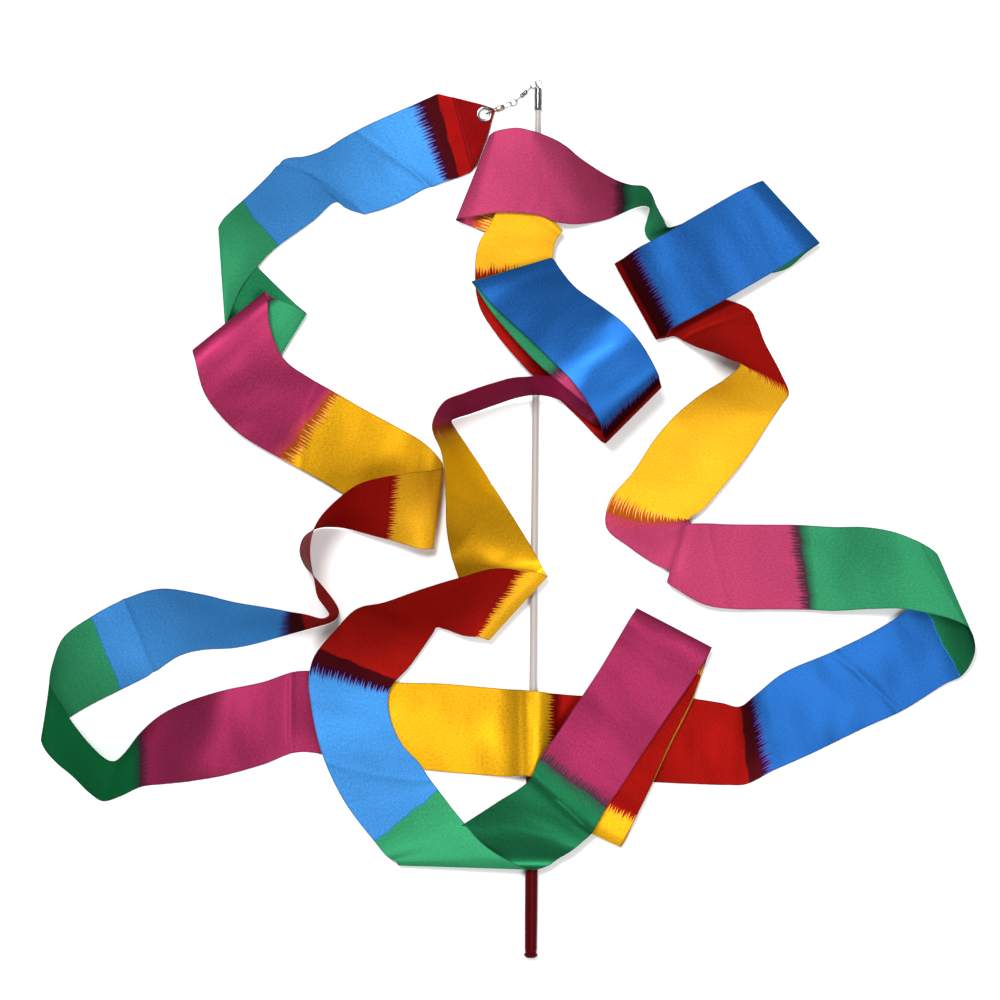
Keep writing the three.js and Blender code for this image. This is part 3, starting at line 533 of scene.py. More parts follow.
def satin(name, colour, roughness, lustre, bump_strength):
    n = Nodes(name)
    uv = n.add("ShaderNodeUVMap", uv_map="metres").outputs["UV"]
    split = n.add("ShaderNodeSeparateXYZ")
    n.link(uv, split.inputs[0])
    across = split.outputs["Y"]
    dye = n.add("ShaderNodeAttribute", attribute_name="dye").outputs["Fac"]

    line = n.math("ROUND", dye)
    step = 1 / len(MEETINGS)  # of the lookup, for each meeting; a quarter of it keeps clear of rounding
    kind = n.math("ADD", n.math("FRACT", n.math("MULTIPLY", line, step)), step / 4)

    def by_meeting(pick):
        return n.lookup(kind, [(i / len(MEETINGS), pick(meeting)) for i, meeting in enumerate(MEETINGS)])

    lengths = n.add("ShaderNodeSeparateColor")
    n.link(by_meeting(lambda m: (m["needle"], *m["zone"])), lengths.inputs[0])
    reach, zone, soft = lengths.outputs
    way = n.add("ShaderNodeSeparateColor")
    n.link(by_meeting(lambda m: (float(m["into"]), 0, 0)), way.inputs[0])
    way = n.math("SUBTRACT", n.math("MULTIPLY", way.outputs["Red"], 2.0), 1.0)

    # needles: a random length for each thread group across the ribbon, tapering to its tip
    def needles(pitch, seed):
        place = n.math("DIVIDE", across, pitch)
        cell = n.add("ShaderNodeCombineXYZ")
        n.link(n.math("FLOOR", place), cell.inputs["X"])
        n.link(n.math("ADD", line, seed), cell.inputs["Y"])
        random_length = n.add("ShaderNodeTexWhiteNoise", noise_dimensions="2D")
        n.link(cell.outputs[0], random_length.inputs["Vector"])
        centred = n.math("SUBTRACT", n.math("MULTIPLY", n.math("FRACT", place), 2.0), 1.0)
        ridge = n.math("SUBTRACT", 1.0, n.math("ABSOLUTE", centred))
        length = n.math("ADD", 0.6, n.math("MULTIPLY", random_length.outputs["Value"], 0.5))
        return n.math("MULTIPLY", n.math("POWER", ridge, 1.15), length)

    long_needles, short_needles = needles(0.0019, 3.0), needles(0.0013, 11.0)
    comb = n.math("MAXIMUM", long_needles, n.math("MULTIPLY", short_needles, 0.75))
    seeded = n.add("ShaderNodeCombineXYZ")
    n.link(n.math("MULTIPLY", across, 90.0), seeded.inputs["X"])
    n.link(n.math("MULTIPLY", line, 3.7), seeded.inputs["Y"])
    wave = n.math("SUBTRACT", n.noise(1.0, 3.0, seeded.outputs[0]), 0.5)
    offset = n.math("MULTIPLY", n.math("SUBTRACT", dye, line), DYE_UNIT)
    offset = n.math("MULTIPLY", n.math("ADD", offset, n.math("MULTIPLY", wave, 0.004)), way)

    # 1 short of the limit and 0 past it; the step is a quarter of a millimetre wide unless softer
    def reaches(limit, softness=0.00025):
        return n.math("DIVIDE", n.math("SUBTRACT", limit, offset), softness, clamp=True)

    past = n.math("GREATER_THAN", offset, 0.0)
    darkened = n.math("DIVIDE", n.math("ADD", offset, zone), soft, clamp=True)
    first = n.mix(darkened, by_meeting(lambda m: colour[m["colours"][0]]), by_meeting(lambda m: m["dark"]))
    dyed = n.mix(past, first, by_meeting(lambda m: colour[m["colours"][1]]))
    fringe = n.math("MULTIPLY", past, n.math("MULTIPLY", reaches(n.math("MULTIPLY", reach, 0.8), 0.003), 0.5))
    dyed = n.mix(fringe, dyed, by_meeting(lambda m: m["fringe"]))
    needle = n.math("MULTIPLY", past, reaches(n.math("MULTIPLY", reach, comb)))
    dyed = n.mix(needle, dyed, by_meeting(lambda m: m["tip"]))

    # cloudy dye, fine grain of the weave, and a darker selvage line along each edge
    cloud = n.noise(13.0, 2.0, uv, stretch=(1.0, 1.4, 1.0))
    shade = n.math("MULTIPLY", n.math("SUBTRACT", cloud, 0.3), 2.2, clamp=True)
    light = n.mix(1.0, dyed, (1.1, 1.1, 1.08), "MULTIPLY")
    deep = n.mix(1.0, dyed, (0.86, 0.84, 0.86), "MULTIPLY")
    dyed = n.mix(shade, light, deep)
    grain = n.noise(1100.0, 2.0, uv, stretch=(0.6, 1.0, 1.0))
    dyed = n.mix(0.45, dyed, n.mix(1.0, dyed, grain, "OVERLAY"))
    edge = n.math("MINIMUM", across, n.math("SUBTRACT", RIBBON_WIDTH, across))
    selvage = n.math("LESS_THAN", edge, 0.0006)
    dyed = n.mix(n.math("MULTIPLY", selvage, 0.6), dyed, n.mix(0.6, dyed, rgb(30, 14, 24)))

    # satin weave: long floats along the ribbon, crossed by fine weft lines
    warp = n.add("ShaderNodeTexWave", wave_type="BANDS", bands_direction="Y", wave_profile="SIN")
    warp.inputs["Scale"].default_value = 700.0
    warp.inputs["Distortion"].default_value = 0.6
    n.link(uv, warp.inputs["Vector"])
    weft = n.add("ShaderNodeTexWave", wave_type="BANDS", bands_direction="X", wave_profile="SIN")
    weft.inputs["Scale"].default_value = 520.0
    weft.inputs["Distortion"].default_value = 0.8
    n.link(uv, weft.inputs["Vector"])
    floats = n.math("MULTIPLY", warp.outputs["Fac"], 0.6)
    weave = n.math("ADD", floats, n.math("MULTIPLY", weft.outputs["Fac"], 0.4))
    ripple = n.noise(55.0, 2.0, uv, stretch=(1.0, 0.35, 1.0))
    broad = n.noise(16.0, 2.0, uv, stretch=(1.0, 0.6, 1.0))
    normal = n.bump(ripple, 0.3, 0.0012, n.bump(broad, 1.0, 0.0065))
    normal = n.bump(weave, bump_strength, 0.00006, normal)
    rough = n.math("ADD", roughness - 0.06, n.math("MULTIPLY", grain, 0.12))
    return n.surface(Base_Color=dyed, Roughness=rough, Normal=normal, Metallic=lustre,
                     Specular_IOR_Level=0.0, Specular_Tint=(0.3, 0.3, 0.3))


def doubled_satin(name, colour):
    """The ribbon's folded end: the same red satin. Where it lies double it is given a darker red, which is
    painted shade for the light that two layers keep from coming through.
    """
    n = Nodes(name)
    cloud = n.noise(90.0, 3.0)
    base = n.mix(cloud, tuple(0.72 * c for c in colour), tuple(1.25 * c for c in colour))
    grain = n.noise(1500.0, 2.0, stretch=(0.5, 1.0, 1.0))
    base = n.mix(0.18, base, n.mix(1.0, base, grain, "OVERLAY"))
    normal = n.bump(n.noise(140.0, 2.0), 0.5, 0.0006)
    normal = n.bump(grain, 0.3, 0.00005, normal)
    return n.surface(Base_Color=base, Roughness=0.5, Normal=normal, Metallic=0.2, Specular_IOR_Level=0.0)


def thread(name, colour):
    n = Nodes(name)
    twist = n.noise(3500.0, 1.0, stretch=(1.0, 0.3, 1.0))
    base = n.mix(twist, tuple(0.6 * c for c in colour), colour)
    return n.surface(Base_Color=base, Roughness=0.6, Normal=n.bump(twist, 0.5, 0.00004))


def metal(name, colour, roughness, scratch=0.3, stretch=(1, 1, 1)):
    """Plated or drawn metal with faint scratches and dull patches."""
    n = Nodes(name)
    lines = n.noise(1800.0, 3.0, stretch=stretch)
    patches = n.math("MULTIPLY", n.math("SUBTRACT", n.noise(520.0, 3.0), 0.35), 3.2, clamp=True)
    base = n.mix(patches, tuple(0.5 * c for c in colour), tuple(1.35 * c for c in colour))
    rough = n.math("ADD", roughness, n.math("MULTIPLY", n.math("SUBTRACT", lines, 0.5), scratch))
    return n.surface(Base_Color=base, Metallic=1.0, Roughness=rough, Normal=n.bump(lines, 0.12, 0.00003))


def grip_plastic():
    """Smooth maroon sleeve, with a faint drawn grain along it and faint patches."""
    n = Nodes("maroon_sleeve")
    streaks = n.noise(900.0, 3.0, stretch=(1.0, 0.04, 1.0))
    patches = n.noise(60.0, 3.0, stretch=(1.0, 0.25, 1.0))
    base = n.mix(patches, rgb(48, 1, 4), rgb(72, 2, 6))
    base = n.mix(n.math("MULTIPLY", streaks, 0.2), base, rgb(96, 8, 12))
    rough = n.math("ADD", 0.24, n.math("MULTIPLY", streaks, 0.2))
    normal = n.bump(streaks, 0.2, 0.00008)
    return n.surface(Base_Color=base, Roughness=rough, Normal=normal, Specular_IOR_Level=0.03)


def rod_fibreglass():
    """Pale fibreglass: long faint fibres under a smooth surface."""
    n = Nodes("pale_fibreglass")
    fibres = n.noise(1500.0, 4.0, stretch=(1.0, 0.012, 1.0))
    clouds = n.noise(26.0, 3.0, stretch=(1.0, 0.3, 1.0))
    base = n.mix(fibres, rgb(138, 128, 124), rgb(178, 172, 168))
    base = n.mix(n.math("MULTIPLY", clouds, 0.25), base, rgb(156, 142, 136))
    return n.surface(Base_Color=base, Roughness=0.36, Normal=n.bump(fibres, 0.15, 0.00006),
                     Subsurface_Weight=0.12, Subsurface_Scale=0.002)


# ---------- camera, floor and light ----------
CAMERA_OVER = (-0.00525, 0.011)  # the point on the table that the camera looks straight down at
CAMERA_HEIGHT = 2.2
CAMERA_TURN = math.radians(0.4945)
FIELD_WIDTH = 0.585  # of the table, seen at that height
SENSOR_WIDTH = 36  # millimetres, as is the lens
FLOOR_HALF = 6.0
WORLD_STRENGTH = 0.55
LAMPS = [  # name, place, diameter, watts
    ("key", (-0.5, 0.9, 2.6), 0.8, 76),
    ("fill", (0.9, -0.7, 2.4), 1.2, 30),
]


def make_stage():
    scene = bpy.context.scene
    scene.view_settings.view_transform = "Standard"
    camera = bpy.data.objects.new("camera", bpy.data.cameras.new("camera"))
    camera.location = (*CAMERA_OVER, CAMERA_HEIGHT)
    camera.rotation_euler = (0, 0, CAMERA_TURN)
    camera.data.lens = SENSOR_WIDTH * CAMERA_HEIGHT / FIELD_WIDTH
    camera.data.clip_end = 50
    scene.collection.objects.link(camera)
    scene.camera = camera

    corners = [(x * FLOOR_HALF, y * FLOOR_HALF, 0) for x, y in ((-1, -1), (1, -1), (1, 1), (-1, 1))]
    mesh = bpy.data.meshes.new("floor")
    mesh.from_pydata(corners, [], [(0, 1, 2, 3)])
    floor = bpy.data.objects.new("floor", mesh)
    scene.collection.objects.link(floor)
    n = Nodes("floor_paint")
    mesh.materials.append(n.surface(Base_Color=(0.93, 0.93, 0.93), Roughness=0.9, Specular_IOR_Level=0.1))

    world = bpy.data.worlds.new("studio")
    scene.world = world
    world.use_nodes = True
    background = world.node_tree.nodes["Background"]
    background.inputs["Color"].default_value = (1, 1, 1, 1)
    background.inputs["Strength"].default_value = WORLD_STRENGTH
    for name, place, size, power in LAMPS:
        light = bpy.data.lights.new(name, "AREA")
        light.shape = "DISK"
        light.size = size
        light.energy = power
        lamp = bpy.data.objects.new(name, light)
        lamp.location = place
        lamp.rotation_euler = (Vector((0, 0, 0)) - Vector(place)).to_track_quat("-Z", "Y").to_euler()
        lamp.visible_camera = False
        scene.collection.objects.link(lamp)


# ---------- the wand ----------
WAND = Matrix.Translation(SHOULDER) @ Matrix.Rotation(-WAND_SLOPE, 4, "X")


def wand_piece(name, profile, material, node):
    vertices, faces = lathe(profile)
    piece = new_object(name, moved(vertices, WAND), faces, "wand", material)
    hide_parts(node)
    return piece


def arc(centre_r, centre_y, radius, from_deg, to_deg, steps=6):
    """Profile points on a circular arc, from angles measured from +radius towards +y."""
    return [(centre_r + radius * math.cos(math.radians(a)), centre_y + radius * math.sin(math.radians(a)))
            for a in np.linspace(from_deg, to_deg, steps)]


def make_wand():
    back = -GRIP_LENGTH
    bore = ROD_BUTT_RADIUS + 0.0001
    mouth = arc(GRIP_RADIUS - 0.0007, -0.0007, 0.0007, 0, 90)
    grip = [(bore, back), (bore + 0.0004, back), *arc(bore + 0.0002, back + 0.0019, 0.0016, -72, -8, 5),
            (GRIP_END_RADIUS - 0.0003, back + 0.003), (GRIP_END_RADIUS, back + 0.005),
            (GRIP_RADIUS, back + 0.025), (GRIP_RADIUS, back + 0.07), (GRIP_RADIUS, -0.03), *mouth,
            (bore, 0)]
    wand_piece("grip_sleeve", grip, grip_plastic(), "grip")
    rod_end = TIP - 0.0026
    rod = [(0, back), *arc(ROD_BUTT_RADIUS - 0.0004, back + 0.0004, 0.0004, -90, 0, 4)]
    rod += [(ROD_BUTT_RADIUS, -0.05), (ROD_BUTT_RADIUS, 0)]
    taper = 14
    for i in range(1, taper + 1):
        share = i / taper
        radius = ROD_BUTT_RADIUS + (ROD_TIP_RADIUS - ROD_BUTT_RADIUS) * share
        rod.append((radius, (TIP - FERRULE_LENGTH) * share))
    rod += [(ROD_TIP_RADIUS, rod_end), (0, rod_end)]
    wand_piece("tapered_rod", rod, rod_fibreglass(), "rod")
    chrome = metal("bright_plate", rgb(118, 116, 116), 0.16, 0.18, (1, 0.05, 1))
    bottom = TIP - FERRULE_LENGTH
    inside = ROD_TIP_RADIUS + 0.00012
    lip = 0.00025
    ferrule = [(inside, bottom), *arc(FERRULE_RADIUS - lip, bottom + lip, lip, -90, 0)]
    for groove in (0.0022, 0.0031, 0.0098):  # crimped rings
        y = bottom + groove
        ferrule += [(FERRULE_RADIUS, y - 0.0003), (FERRULE_RADIUS - 0.00016, y - 0.00012),
                    (FERRULE_RADIUS - 0.00016, y + 0.00012), (FERRULE_RADIUS, y + 0.0003)]
    ferrule += arc(FERRULE_RADIUS - 0.0006, TIP - 0.0006, 0.0006, 0, 90)
    hole = WIRE_RADIUS + 0.0001
    ferrule += [(hole, TIP), (hole, TIP - 0.001), (inside, TIP - 0.001)]
    wand_piece("ferrule_sleeve", ferrule, chrome, "ferrule")

    steel = metal("drawn_wire", rgb(88, 83, 81), 0.2, 0.2)
    loop_y = TIP + LOOP_RADIUS + LOOP_SHANK
    # the round loop starts and ends at the shank
    bend, steps = [], 72
    for i in range(steps):
        a = 2 * math.pi * i / steps - math.pi / 2
        bend.append(Vector((LOOP_RADIUS * math.cos(a), loop_y + LOOP_RADIUS * math.sin(a), 0)))
    loop = tube(bend, LINK_WIRE_RADIUS, 14, closed=True)
    foot, head_radius, neck = TIP - 0.0021, 0.0012, loop_y - LOOP_RADIUS
    shank = lathe([(0, foot), (head_radius, foot), (head_radius, TIP - 0.0016), (WIRE_RADIUS, TIP - 0.0015),
                   (WIRE_RADIUS, neck - 0.0002), (WIRE_RADIUS * 1.4, neck), (0, neck)], 24)
    vertices, faces = merged(loop, shank)
    piece = new_object("tip_wire_loop", moved(vertices, WAND), faces, "wand", steel)
    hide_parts("tip_loop")
    return steel, chrome


def node_centre(node):
    low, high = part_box(node)
    return (low + high) / 2


def placed(centre, heading, tilt=0.0):
    return Matrix.Translation(centre) @ Matrix.Rotation(heading, 4, "Z") @ Matrix.Rotation(tilt, 4, "X")


def make_ring(name, node, body, steel):
    """A wire ring whose ends meet in a thin brazed seam."""
    vertices, faces = tube(circle(RING_RADIUS, 80), LINK_WIRE_RADIUS, 14, closed=True)
    seam = tube([(RING_RADIUS * math.cos(a), RING_RADIUS * math.sin(a), 0) for a in (2.2, 2.25, 2.3)],
                LINK_WIRE_RADIUS * 1.12, 12)
    vertices, faces = merged((vertices, faces), seam)
    place = placed(node_centre(node), RING_HEADING, RING_TILT)
    piece = new_object(name, moved(vertices, place), faces, body, steel)
    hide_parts(node)


def make_swivel():
    front, rear = node_centre("front_ring"), node_centre("rear_ring")
    span = rear - front
    middle = front + span / 2
    heading = math.atan2(span.y, span.x)
    dark = metal("dark_plated_steel", rgb(80, 77, 77), 0.2, 0.25)
    eye_x = span.length / 2 - RING_RADIUS + LINK_BITE - EYE_RADIUS
    head_x = BARREL_LENGTH / 2 - 0.00045 - 0.0003
    to_x = Matrix.Rotation(-math.pi / 2, 4, "Z")
    for name, node, body, turn in (("swivel_eye_front", "swivel_front_eye", "swivel", math.pi),
                                   ("swivel_eye_rear", "swivel_rear_eye", "swivel_rear", 0.0)):
        ring = [Vector((eye_x + p.x, 0, p.y)) for p in circle(EYE_RADIUS, 56)]
        foot, head_radius, neck_radius, root = head_x - 0.0006, 0.00055, 0.00028, eye_x - EYE_RADIUS
        stem = lathe([(0, foot), (head_radius, foot), (head_radius, head_x), (neck_radius, head_x + 0.0002),
                      (neck_radius, root - 0.0004), (0.00034, root), (0, root + 0.0001)], 24)
        eye = tube(ring, LINK_WIRE_RADIUS, 14, closed=True)
        vertices, faces = merged(eye, (moved(stem[0], to_x), stem[1]))
        place = placed(middle, heading + turn)
        piece = new_object(name, moved(vertices, place), faces, body, dark)
        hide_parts(node)
    half = BARREL_LENGTH / 2
    inner = half - 0.00045
    mouth, end_radius, chamber, shoulder = 0.00045, 0.0008, 0.00078, 0.0006
    groove = BARREL_RADIUS - 0.0001
    shell = [(mouth, -half), (end_radius, -half),
             *arc(BARREL_RADIUS - shoulder, -half + 0.0011, shoulder, -60, 0, 5),
             (BARREL_RADIUS, -0.0004), (groove, -0.0002), (groove, 0.0002), (BARREL_RADIUS, 0.0004),
             *arc(BARREL_RADIUS - shoulder, half - 0.0011, shoulder, 0, 60, 5),
             (end_radius, half), (mouth, half), (mouth, inner), (chamber, inner), (chamber, -inner),
             (mouth, -inner)]
    vertices, faces = lathe(shell)
    bright = metal("barrel_plate", rgb(112, 107, 105), 0.14, 0.2, (0.1, 1, 1))
    vertices = moved(moved(vertices, to_x), placed(middle, heading))
    piece = new_object("swivel_shell", vertices, faces, "barrel", bright)
    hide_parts("swivel_barrel")


def make_snap(steel):
    centre = node_centre("snap_plate")
    place = placed(centre, SNAP_HEADING)
    length, width, thickness, legs = 0.005, 0.0029, 0.0015, 0.0008
    half, reach = length / 2, 0.0074
    oval = [(-half, legs), (-half - 0.0012, 0.0011), (-reach + 0.001, 0.00115), (-reach, 0)]
    hook = [(half, legs, 0), (0.0031, 0.0007, -0.0009), (0.0042, 0.00045, -0.00145),
            (0.006, 0.0002, -0.0015), (0.008, 0, -0.0014), (0.0089, 0, -0.0006), (0.0091, 0, 0.0003),
            (0.0088, 0, 0.0012), (0.008, 0, 0.0016), (0.006, -0.0002, 0.00165),
            (0.0042, -0.00045, 0.0015), (0.0031, -0.0007, 0.001), (half, -legs, 0)]
    route = hook + [(x, -y, 0) for x, y in oval] + [(x, y, 0) for x, y in oval[:3][::-1]]
    points = catmull(route, np.arange(0, len(route), 0.1), closed=True)
    vertices, faces = tube(points, WIRE_RADIUS, 14, closed=True)
    piece = new_object("snap_spring_wire", moved(vertices, place), faces, "snap", steel)
    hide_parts("snap_wire")
    # the plate is one strip folded round both legs: a flat loop in section
    section = []
    outer_y, outer_z = width / 2, thickness / 2
    for y, z, start in ((outer_y - outer_z, 0, -90), (-outer_y + outer_z, 0, 90)):
        section += [(y + outer_z * math.cos(math.radians(a)), z + outer_z * math.sin(math.radians(a)))
                    for a in np.linspace(start, start + 180, 13)]
    wall = 0.00018
    inside = [(y * (1 - wall / outer_y), z * (1 - wall / outer_z)) for y, z in section]
    vertices, faces = [], []
    count = len(section)
    stations = [(-half, 0.94), (-half + 0.0001, 1.0), (half - 0.0001, 1.0), (half, 0.94)]
    for x, scale in stations:
        vertices += [Vector((x, y * scale, z * scale)) for y, z in section]
    for x, scale in stations:
        vertices += [Vector((x, y * scale, z * scale)) for y, z in inside]
    rows = len(stations)
    for i in range(rows - 1):
        for k in range(count):
            nxt = (k + 1) % count
            low, high = i * count, (i + 1) * count
            faces.append((low + k, low + nxt, high + nxt, high + k))
            shift = rows * count
            faces.append((shift + low + k, shift + high + k, shift + high + nxt, shift + low + nxt))
    for i, order in ((0, 1), (rows - 1, -1)):
        for k in range(count):
            nxt = (k + 1) % count
            rim, inner = i * count, (rows + i) * count
            face = (rim + k, inner + k, inner + nxt, rim + nxt)
            faces.append(face[::order])
    plate = metal("folded_strip", rgb(122, 98, 88), 0.26, 0.3, (0.1, 1, 1))
    piece = new_object("snap_fold", moved(vertices, place), faces, "snap", plate)
    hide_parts("snap_plate")


# ---------- the ribbon's end ----------
POINT_OUTLINE = [
    (-0.0464, 0.2470), (-0.0436, 0.2482), (-0.0175, 0.2419), (-0.0106, 0.2396), (-0.0104, 0.2375),
    (-0.0121, 0.2321), (-0.0147, 0.2227), (-0.0205, 0.207), (-0.0245, 0.2024), (-0.0297, 0.1998),
    (-0.0325, 0.1988),
]
# the doubled part starts at a crease that runs beside the first band
DOUBLED_OUTLINE = [
    (-0.0352, 0.2463), (-0.0175, 0.2420), (-0.0106, 0.2397), (-0.0104, 0.2375), (-0.0121, 0.2321),
    (-0.0147, 0.2227), (-0.0205, 0.207), (-0.0237, 0.2033),
]


def cut_sheet(name, outline, low, high, hole_radius, bevel):
    """A flat sheet with a round hole and soft edges, from low to high."""
    curve = bpy.data.curves.new(name, "CURVE")
    curve.dimensions = "2D"
    curve.fill_mode = "BOTH"
    thickness = high - low
    curve.extrude = thickness / 2 - bevel
    curve.bevel_depth = bevel
    curve.bevel_resolution = 2
    curve.offset = -bevel
    hole = [(EYELET_CENTRE.x + p.x, EYELET_CENTRE.y + p.y) for p in circle(hole_radius, 40)]
    for loop in (outline, hole):
        spline = curve.splines.new("POLY")
        spline.points.add(len(loop) - 1)
        for point, (x, y) in zip(spline.points, loop):
            point.co = (x, y, 0, 1)
        spline.use_cyclic_u = True
    flat = bpy.data.objects.new(name, curve)
    bpy.context.scene.collection.objects.link(flat)
    bpy.context.view_layer.update()
    mesh = bpy.data.meshes.new_from_object(flat.evaluated_get(bpy.context.evaluated_depsgraph_get()))
    bpy.data.objects.remove(flat)
    mesh.transform(Matrix.Translation((0, 0, (low + high) / 2)))
    piece = bpy.data.objects.new(name, mesh)
    bpy.context.scene.collection.objects.link(piece)
    return piece


def make_point():
    bright = doubled_satin("red_satin_end", rgb(124, 13, 11))
    # painted shade: the doubled part gets a darker red, because two layers let less light through
    dark = doubled_satin("red_satin_doubled_painted_shade", rgb(104, 9, 10))
    hole = EYELET_HOLE_RADIUS + 0.0004
    base = cut_sheet("ribbon_end_under", POINT_OUTLINE, CHAIN_Z - 0.0005, CHAIN_Z - 0.00032, hole, 0.00006)
    flap = cut_sheet("ribbon_end_fold", DOUBLED_OUTLINE, CHAIN_Z - 0.0003, CHAIN_Z + 0.0003, hole, 0.00014)
    for piece, material in ((base, bright), (flap, dark)):
        piece.data.materials.clear()
        piece.data.materials.append(material)
        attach(piece, "ribbon")
    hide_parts("ribbon_point")
    # a row of stitches along the crease
    stitches = []
    crease = np.array([DOUBLED_OUTLINE[0], DOUBLED_OUTLINE[-1]])
    ahead = (crease[1] - crease[0]) / np.linalg.norm(crease[1] - crease[0])
    inward = np.array([-ahead[1], ahead[0]])
    length = np.linalg.norm(crease[1] - crease[0])
    pitch, margin, inset, stitch, dip, thread_radius = 0.0019, 0.0015, 0.0012, 0.0013, 0.0002, 0.00011
    top = CHAIN_Z + 0.00037
    for i in range(int((length - 2 * margin) / pitch)):
        start = crease[0] + ahead * (margin + i * pitch) + inward * inset
        end = start + ahead * stitch
        middle = (start + end) / 2
        stitches.append(tube([(*start, top - dip), (*middle, top), (*end, top - dip)], thread_radius, 8))
    vertices, faces = merged(*stitches)
    red = thread("red_thread", rgb(120, 14, 18))
    seam = new_object("end_stitches", vertices, faces, "ribbon", red)
    return [base, flap, seam]


def make_eyelet(chrome):
    """A flanged eyelet: a rolled ring on top, the barrel through the hole, and a washer below."""
    outer = EYELET_HOLE_RADIUS + 0.00035
    face, top = 0.0008, 0.00115
    roll = (EYELET_RADIUS - EYELET_HOLE_RADIUS) / 2
    rim = EYELET_RADIUS - 0.0002
    flange = [(EYELET_HOLE_RADIUS, -top), (outer, -top), (outer, face - 0.0002), (rim, face - 0.0002),
              (EYELET_RADIUS, face)]
    flange += [(EYELET_HOLE_RADIUS + roll + roll * math.cos(a), face + (top - face) * math.sin(a))
               for a in np.linspace(0.25, math.pi - 0.25, 11)]
    flange += [(EYELET_HOLE_RADIUS, face - 0.0001)]
    upright = Matrix.Translation(EYELET_CENTRE) @ Matrix.Rotation(math.pi / 2, 4, "X")
    vertices, faces = lathe(flange, 72)
    ring = new_object("eyelet_ring", moved(vertices, upright), faces, "ribbon", chrome)
    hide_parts("eyelet")
    bore = outer + 0.00008
    soft = 0.00015
    washer = [(bore, -top), (rim, -top), *arc(EYELET_RADIUS - soft, -top + soft, soft, -60, 60, 4),
              (rim, -face), (bore, -face)]
    vertices, faces = lathe(washer, 72)
    back = new_object("eyelet_back", moved(vertices, upright), faces, "ribbon", chrome)
    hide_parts("eyelet_washer")
    return [ring, back]


# ---------- the ribbon ----------
STEP = 0.00135  # spacing of the mesh along the ribbon
ACROSS = 16  # mesh squares across the ribbon
WAVE = 0.00035  # height of the cloth's slight waviness
FADE = 0.02  # the waves start from nothing over this length at each end
LOWEST = 0.0003  # the least height of the cloth's middle above the table


def resampled_rulings():
    """Edges A and B at even steps along the ribbon's middle, and each one's place in rows."""
    rows = np.array([row for _, rows in BANDS for row in rows]) / MILLIMETRES
    places = np.arange(0, len(rows) - 1, 0.02)
    edge_a, edge_b = catmull(rows[:, :3], places), catmull(rows[:, 3:], places)
    middle = (edge_a + edge_b) / 2
    travelled = np.concatenate([[0], np.cumsum(np.linalg.norm(np.diff(middle, axis=0), axis=1))])
    even = np.arange(0, travelled[-1], STEP)
    where = np.interp(even, travelled, places)
    return catmull(rows[:, :3], where), catmull(rows[:, 3:], where), where, even


# How far each dye line lies past the row its two colours share, in the order of MEETINGS.
LINE_SHIFT = [0.004, -0.007, -0.001, -0.001, -0.004]
# The lines that don't run square across, or lie apart from the rule: shift at edge A and edge B.
OWN_SHIFT = {1: (-0.0055, -0.0055), 2: (0.005, -0.003), 3: (-0.008, -0.008), 14: (-0.012, -0.0045),
             16: (-0.0055, -0.0055), 26: (0.002, 0.002), 29: (0.012, 0.012)}


def dye_coordinate(where, travelled, across):
    """Counts bands along the ribbon: a whole number at each line between two colours."""
    firsts = np.cumsum([0] + [len(rows) for _, rows in BANDS[:-1]])
    lines = np.interp(firsts[1:], where, travelled)
    near = 0.025
    columns = []
    for share in across:
        places, counts = [], []
        for k, line in enumerate(lines, 1):
            at_a, at_b = OWN_SHIFT.get(k, [LINE_SHIFT[k % len(LINE_SHIFT)]] * 2)
            line += at_a * (1 - share) + at_b * share
            places += [line - near, line + near]
            counts += [k - near / DYE_UNIT, k + near / DYE_UNIT]
        columns.append(np.interp(travelled, places, counts))
    return np.stack(columns, 1)


def waviness(travelled, across):
    """Slow waves of a few tenths of a millimetre, so that the satin never lies like a plate."""
    height = np.zeros((len(travelled), len(across)))
    for wavelength, share in ((0.033, 0.5), (0.052, 0.8), (0.081, 1.0)):
        lean = random.uniform(-0.7, 0.7)
        start = random.uniform(0, 2 * math.pi)
        beat = 1 + 0.6 * np.sin(travelled[:, None] / (wavelength * 2.9) + start * 3)
        place = travelled[:, None] + lean * across[None, :]
        height += share * beat * np.sin(2 * math.pi * place / wavelength + start)
    return WAVE * height / 2


# Pressed creases: how many bands along at edge A and at edge B, height in metres (below 0 is a valley).
CREASES = [
    (1.27, 1.17, -0.0012), (1.69, 1.52, 0.0017), (3.9, 4.1, 0.0006), (6.83, 6.84, -0.0013),
    (8.76, 8.76, 0.0012), (9.83, 9.84, 0.0007), (11.5, 11.7, -0.0007), (12.4, 12.3, 0.0009),
    (13.55, 13.4, 0.0006),
    (15.25, 15.5, -0.0012), (15.5, 15.75, 0.0012), (18.3, 18.6, 0.0005), (20.4, 20.6, -0.0005),
    (23.4, 23.6, 0.0005), (24.3, 24.6, 0.0005), (26.6, 26.9, 0.0008), (27.89, 27.88, -0.0014),
    (29.3, 29.3, 0.0006), (30.4, 30.45, -0.0005),
]
CREASE_REACH = 0.0014  # this far to its side, a crease's height has fallen to 0.37 of its top


def creases(counts, across):
    height = np.zeros_like(counts)
    for at_a, at_b, rise in CREASES:
        away = (counts - (at_a + (at_b - at_a) * across[None, :])) * DYE_UNIT
        height += rise * np.exp(-np.abs(away) / CREASE_REACH)
    return height


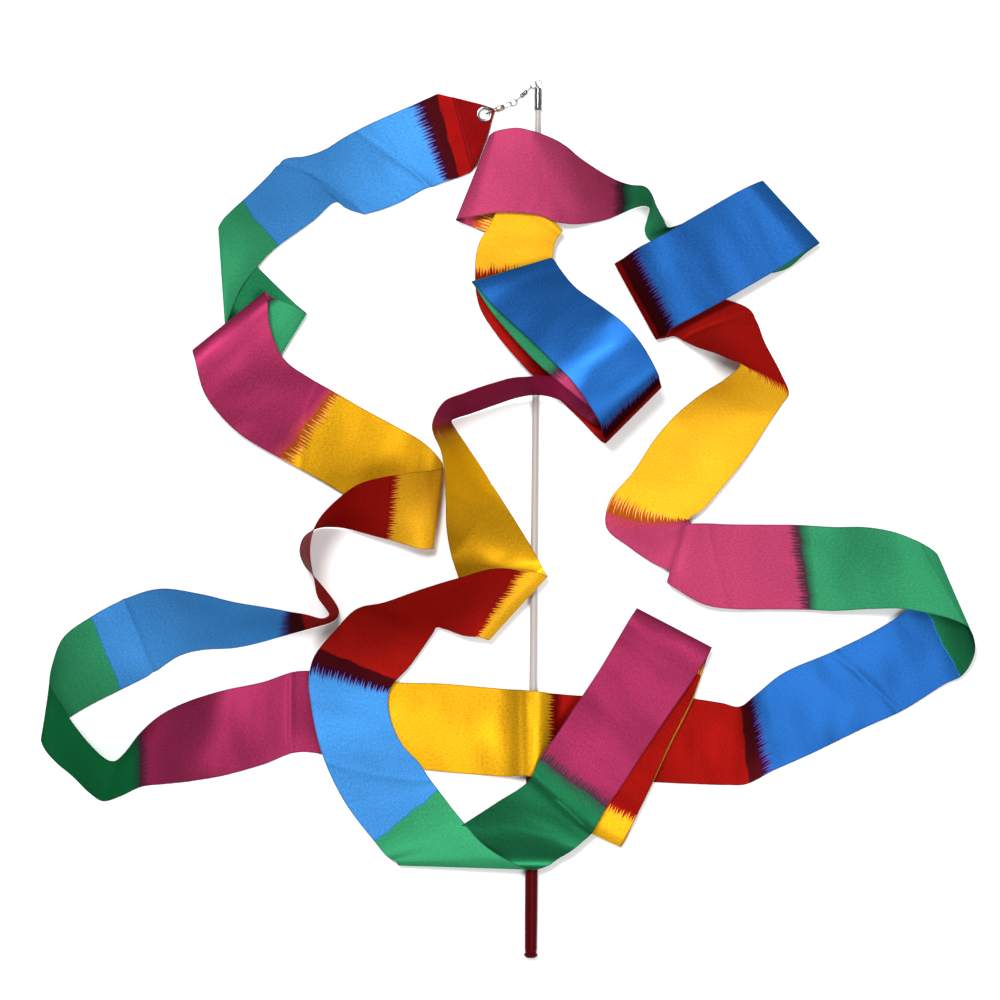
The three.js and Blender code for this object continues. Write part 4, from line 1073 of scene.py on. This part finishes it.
def make_ribbon():
    edge_a, edge_b, where, travelled = resampled_rulings()
    across = np.linspace(0, 1, ACROSS + 1)
    grid = edge_a[:, None, :] * (1 - across[None, :, None]) + edge_b[:, None, :] * across[None, :, None]
    tangent = np.gradient(grid, axis=0)
    ruling = (edge_b - edge_a)[:, None, :]
    normal = np.cross(tangent, ruling)
    normal /= np.maximum(np.linalg.norm(normal, axis=2, keepdims=True), 1e-9)
    normal = smooth(normal, 2)
    normal /= np.linalg.norm(normal, axis=2, keepdims=True)
    ends = np.clip(np.minimum(travelled, travelled[-1] - travelled) / FADE, 0, 1)
    wave = waviness(travelled, across * RIBBON_WIDTH) * ends[:, None]
    counts = dye_coordinate(where, travelled, across)
    wave += creases(counts, across)
    grid = grid + normal * wave[:, :, None]
    grid[:, :, 2] = np.maximum(grid[:, :, 2], LOWEST)
    half = RIBBON_THICKNESS / 2
    face, back = grid - normal * half, grid + normal * half
    count, wide = len(travelled), ACROSS + 1
    vertices = np.concatenate([face.reshape(-1, 3), back.reshape(-1, 3)])
    index = np.arange(count * wide).reshape(count, wide)
    shift = count * wide
    corners = (index[:-1, :-1], index[:-1, 1:], index[1:, 1:], index[1:, :-1])
    a, b, c, d = (corner.ravel() for corner in corners)
    faces = np.concatenate([np.stack([a, b, c, d], 1), np.stack([a, d, c, b], 1) + shift])
    rims = []
    for first, second in ((index[:-1, 0], index[1:, 0]), (index[1:, -1], index[:-1, -1]),
                          (index[0, 1:], index[0, :-1]), (index[-1, :-1], index[-1, 1:])):
        rims.append(np.stack([first, second, second + shift, first + shift], 1))
    faces = np.concatenate([faces, *rims])
    shiny = satin("satin_face", FACE, 0.38, 0.6, 0.25)
    matt = satin("satin_back", BACK, 0.5, 0.3, 0.35)
    ribbon = new_object("dyed_ribbon", vertices, faces.tolist(), "ribbon", shiny)
    mesh = ribbon.data
    mesh.materials.append(matt)
    squares = (count - 1) * ACROSS
    slots = np.zeros(len(faces), np.int32)
    slots[squares : 2 * squares] = 1
    mesh.polygons.foreach_set("material_index", slots)
    dye = mesh.attributes.new("dye", "FLOAT", "POINT")
    counts = counts.ravel()
    dye.data.foreach_set("value", np.concatenate([counts, counts]).astype(np.float32))
    uv = mesh.uv_layers.new(name="metres")
    u = np.repeat(travelled, wide)
    v = np.tile(across * RIBBON_WIDTH, count)
    flat = np.stack([np.concatenate([u, u]), np.concatenate([v, v])], 1)
    loops = np.zeros(len(mesh.loops), np.int32)
    mesh.loops.foreach_get("vertex_index", loops)
    uv.data.foreach_set("uv", flat[loops].ravel().astype(np.float32))
    bands = [f"ribbon_band_{i:02d}" for i in range(1, len(BANDS) + 1)]
    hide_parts(*bands)
    return ribbon


make_stage()
wire_steel, bright_chrome = make_wand()
make_ring("link_ring_front", "front_ring", "front_link", wire_steel)
make_ring("link_ring_rear", "rear_ring", "rear_link", wire_steel)
make_swivel()
make_snap(wire_steel)
end_pieces = make_point() + make_eyelet(bright_chrome)
satin_ribbon = make_ribbon()
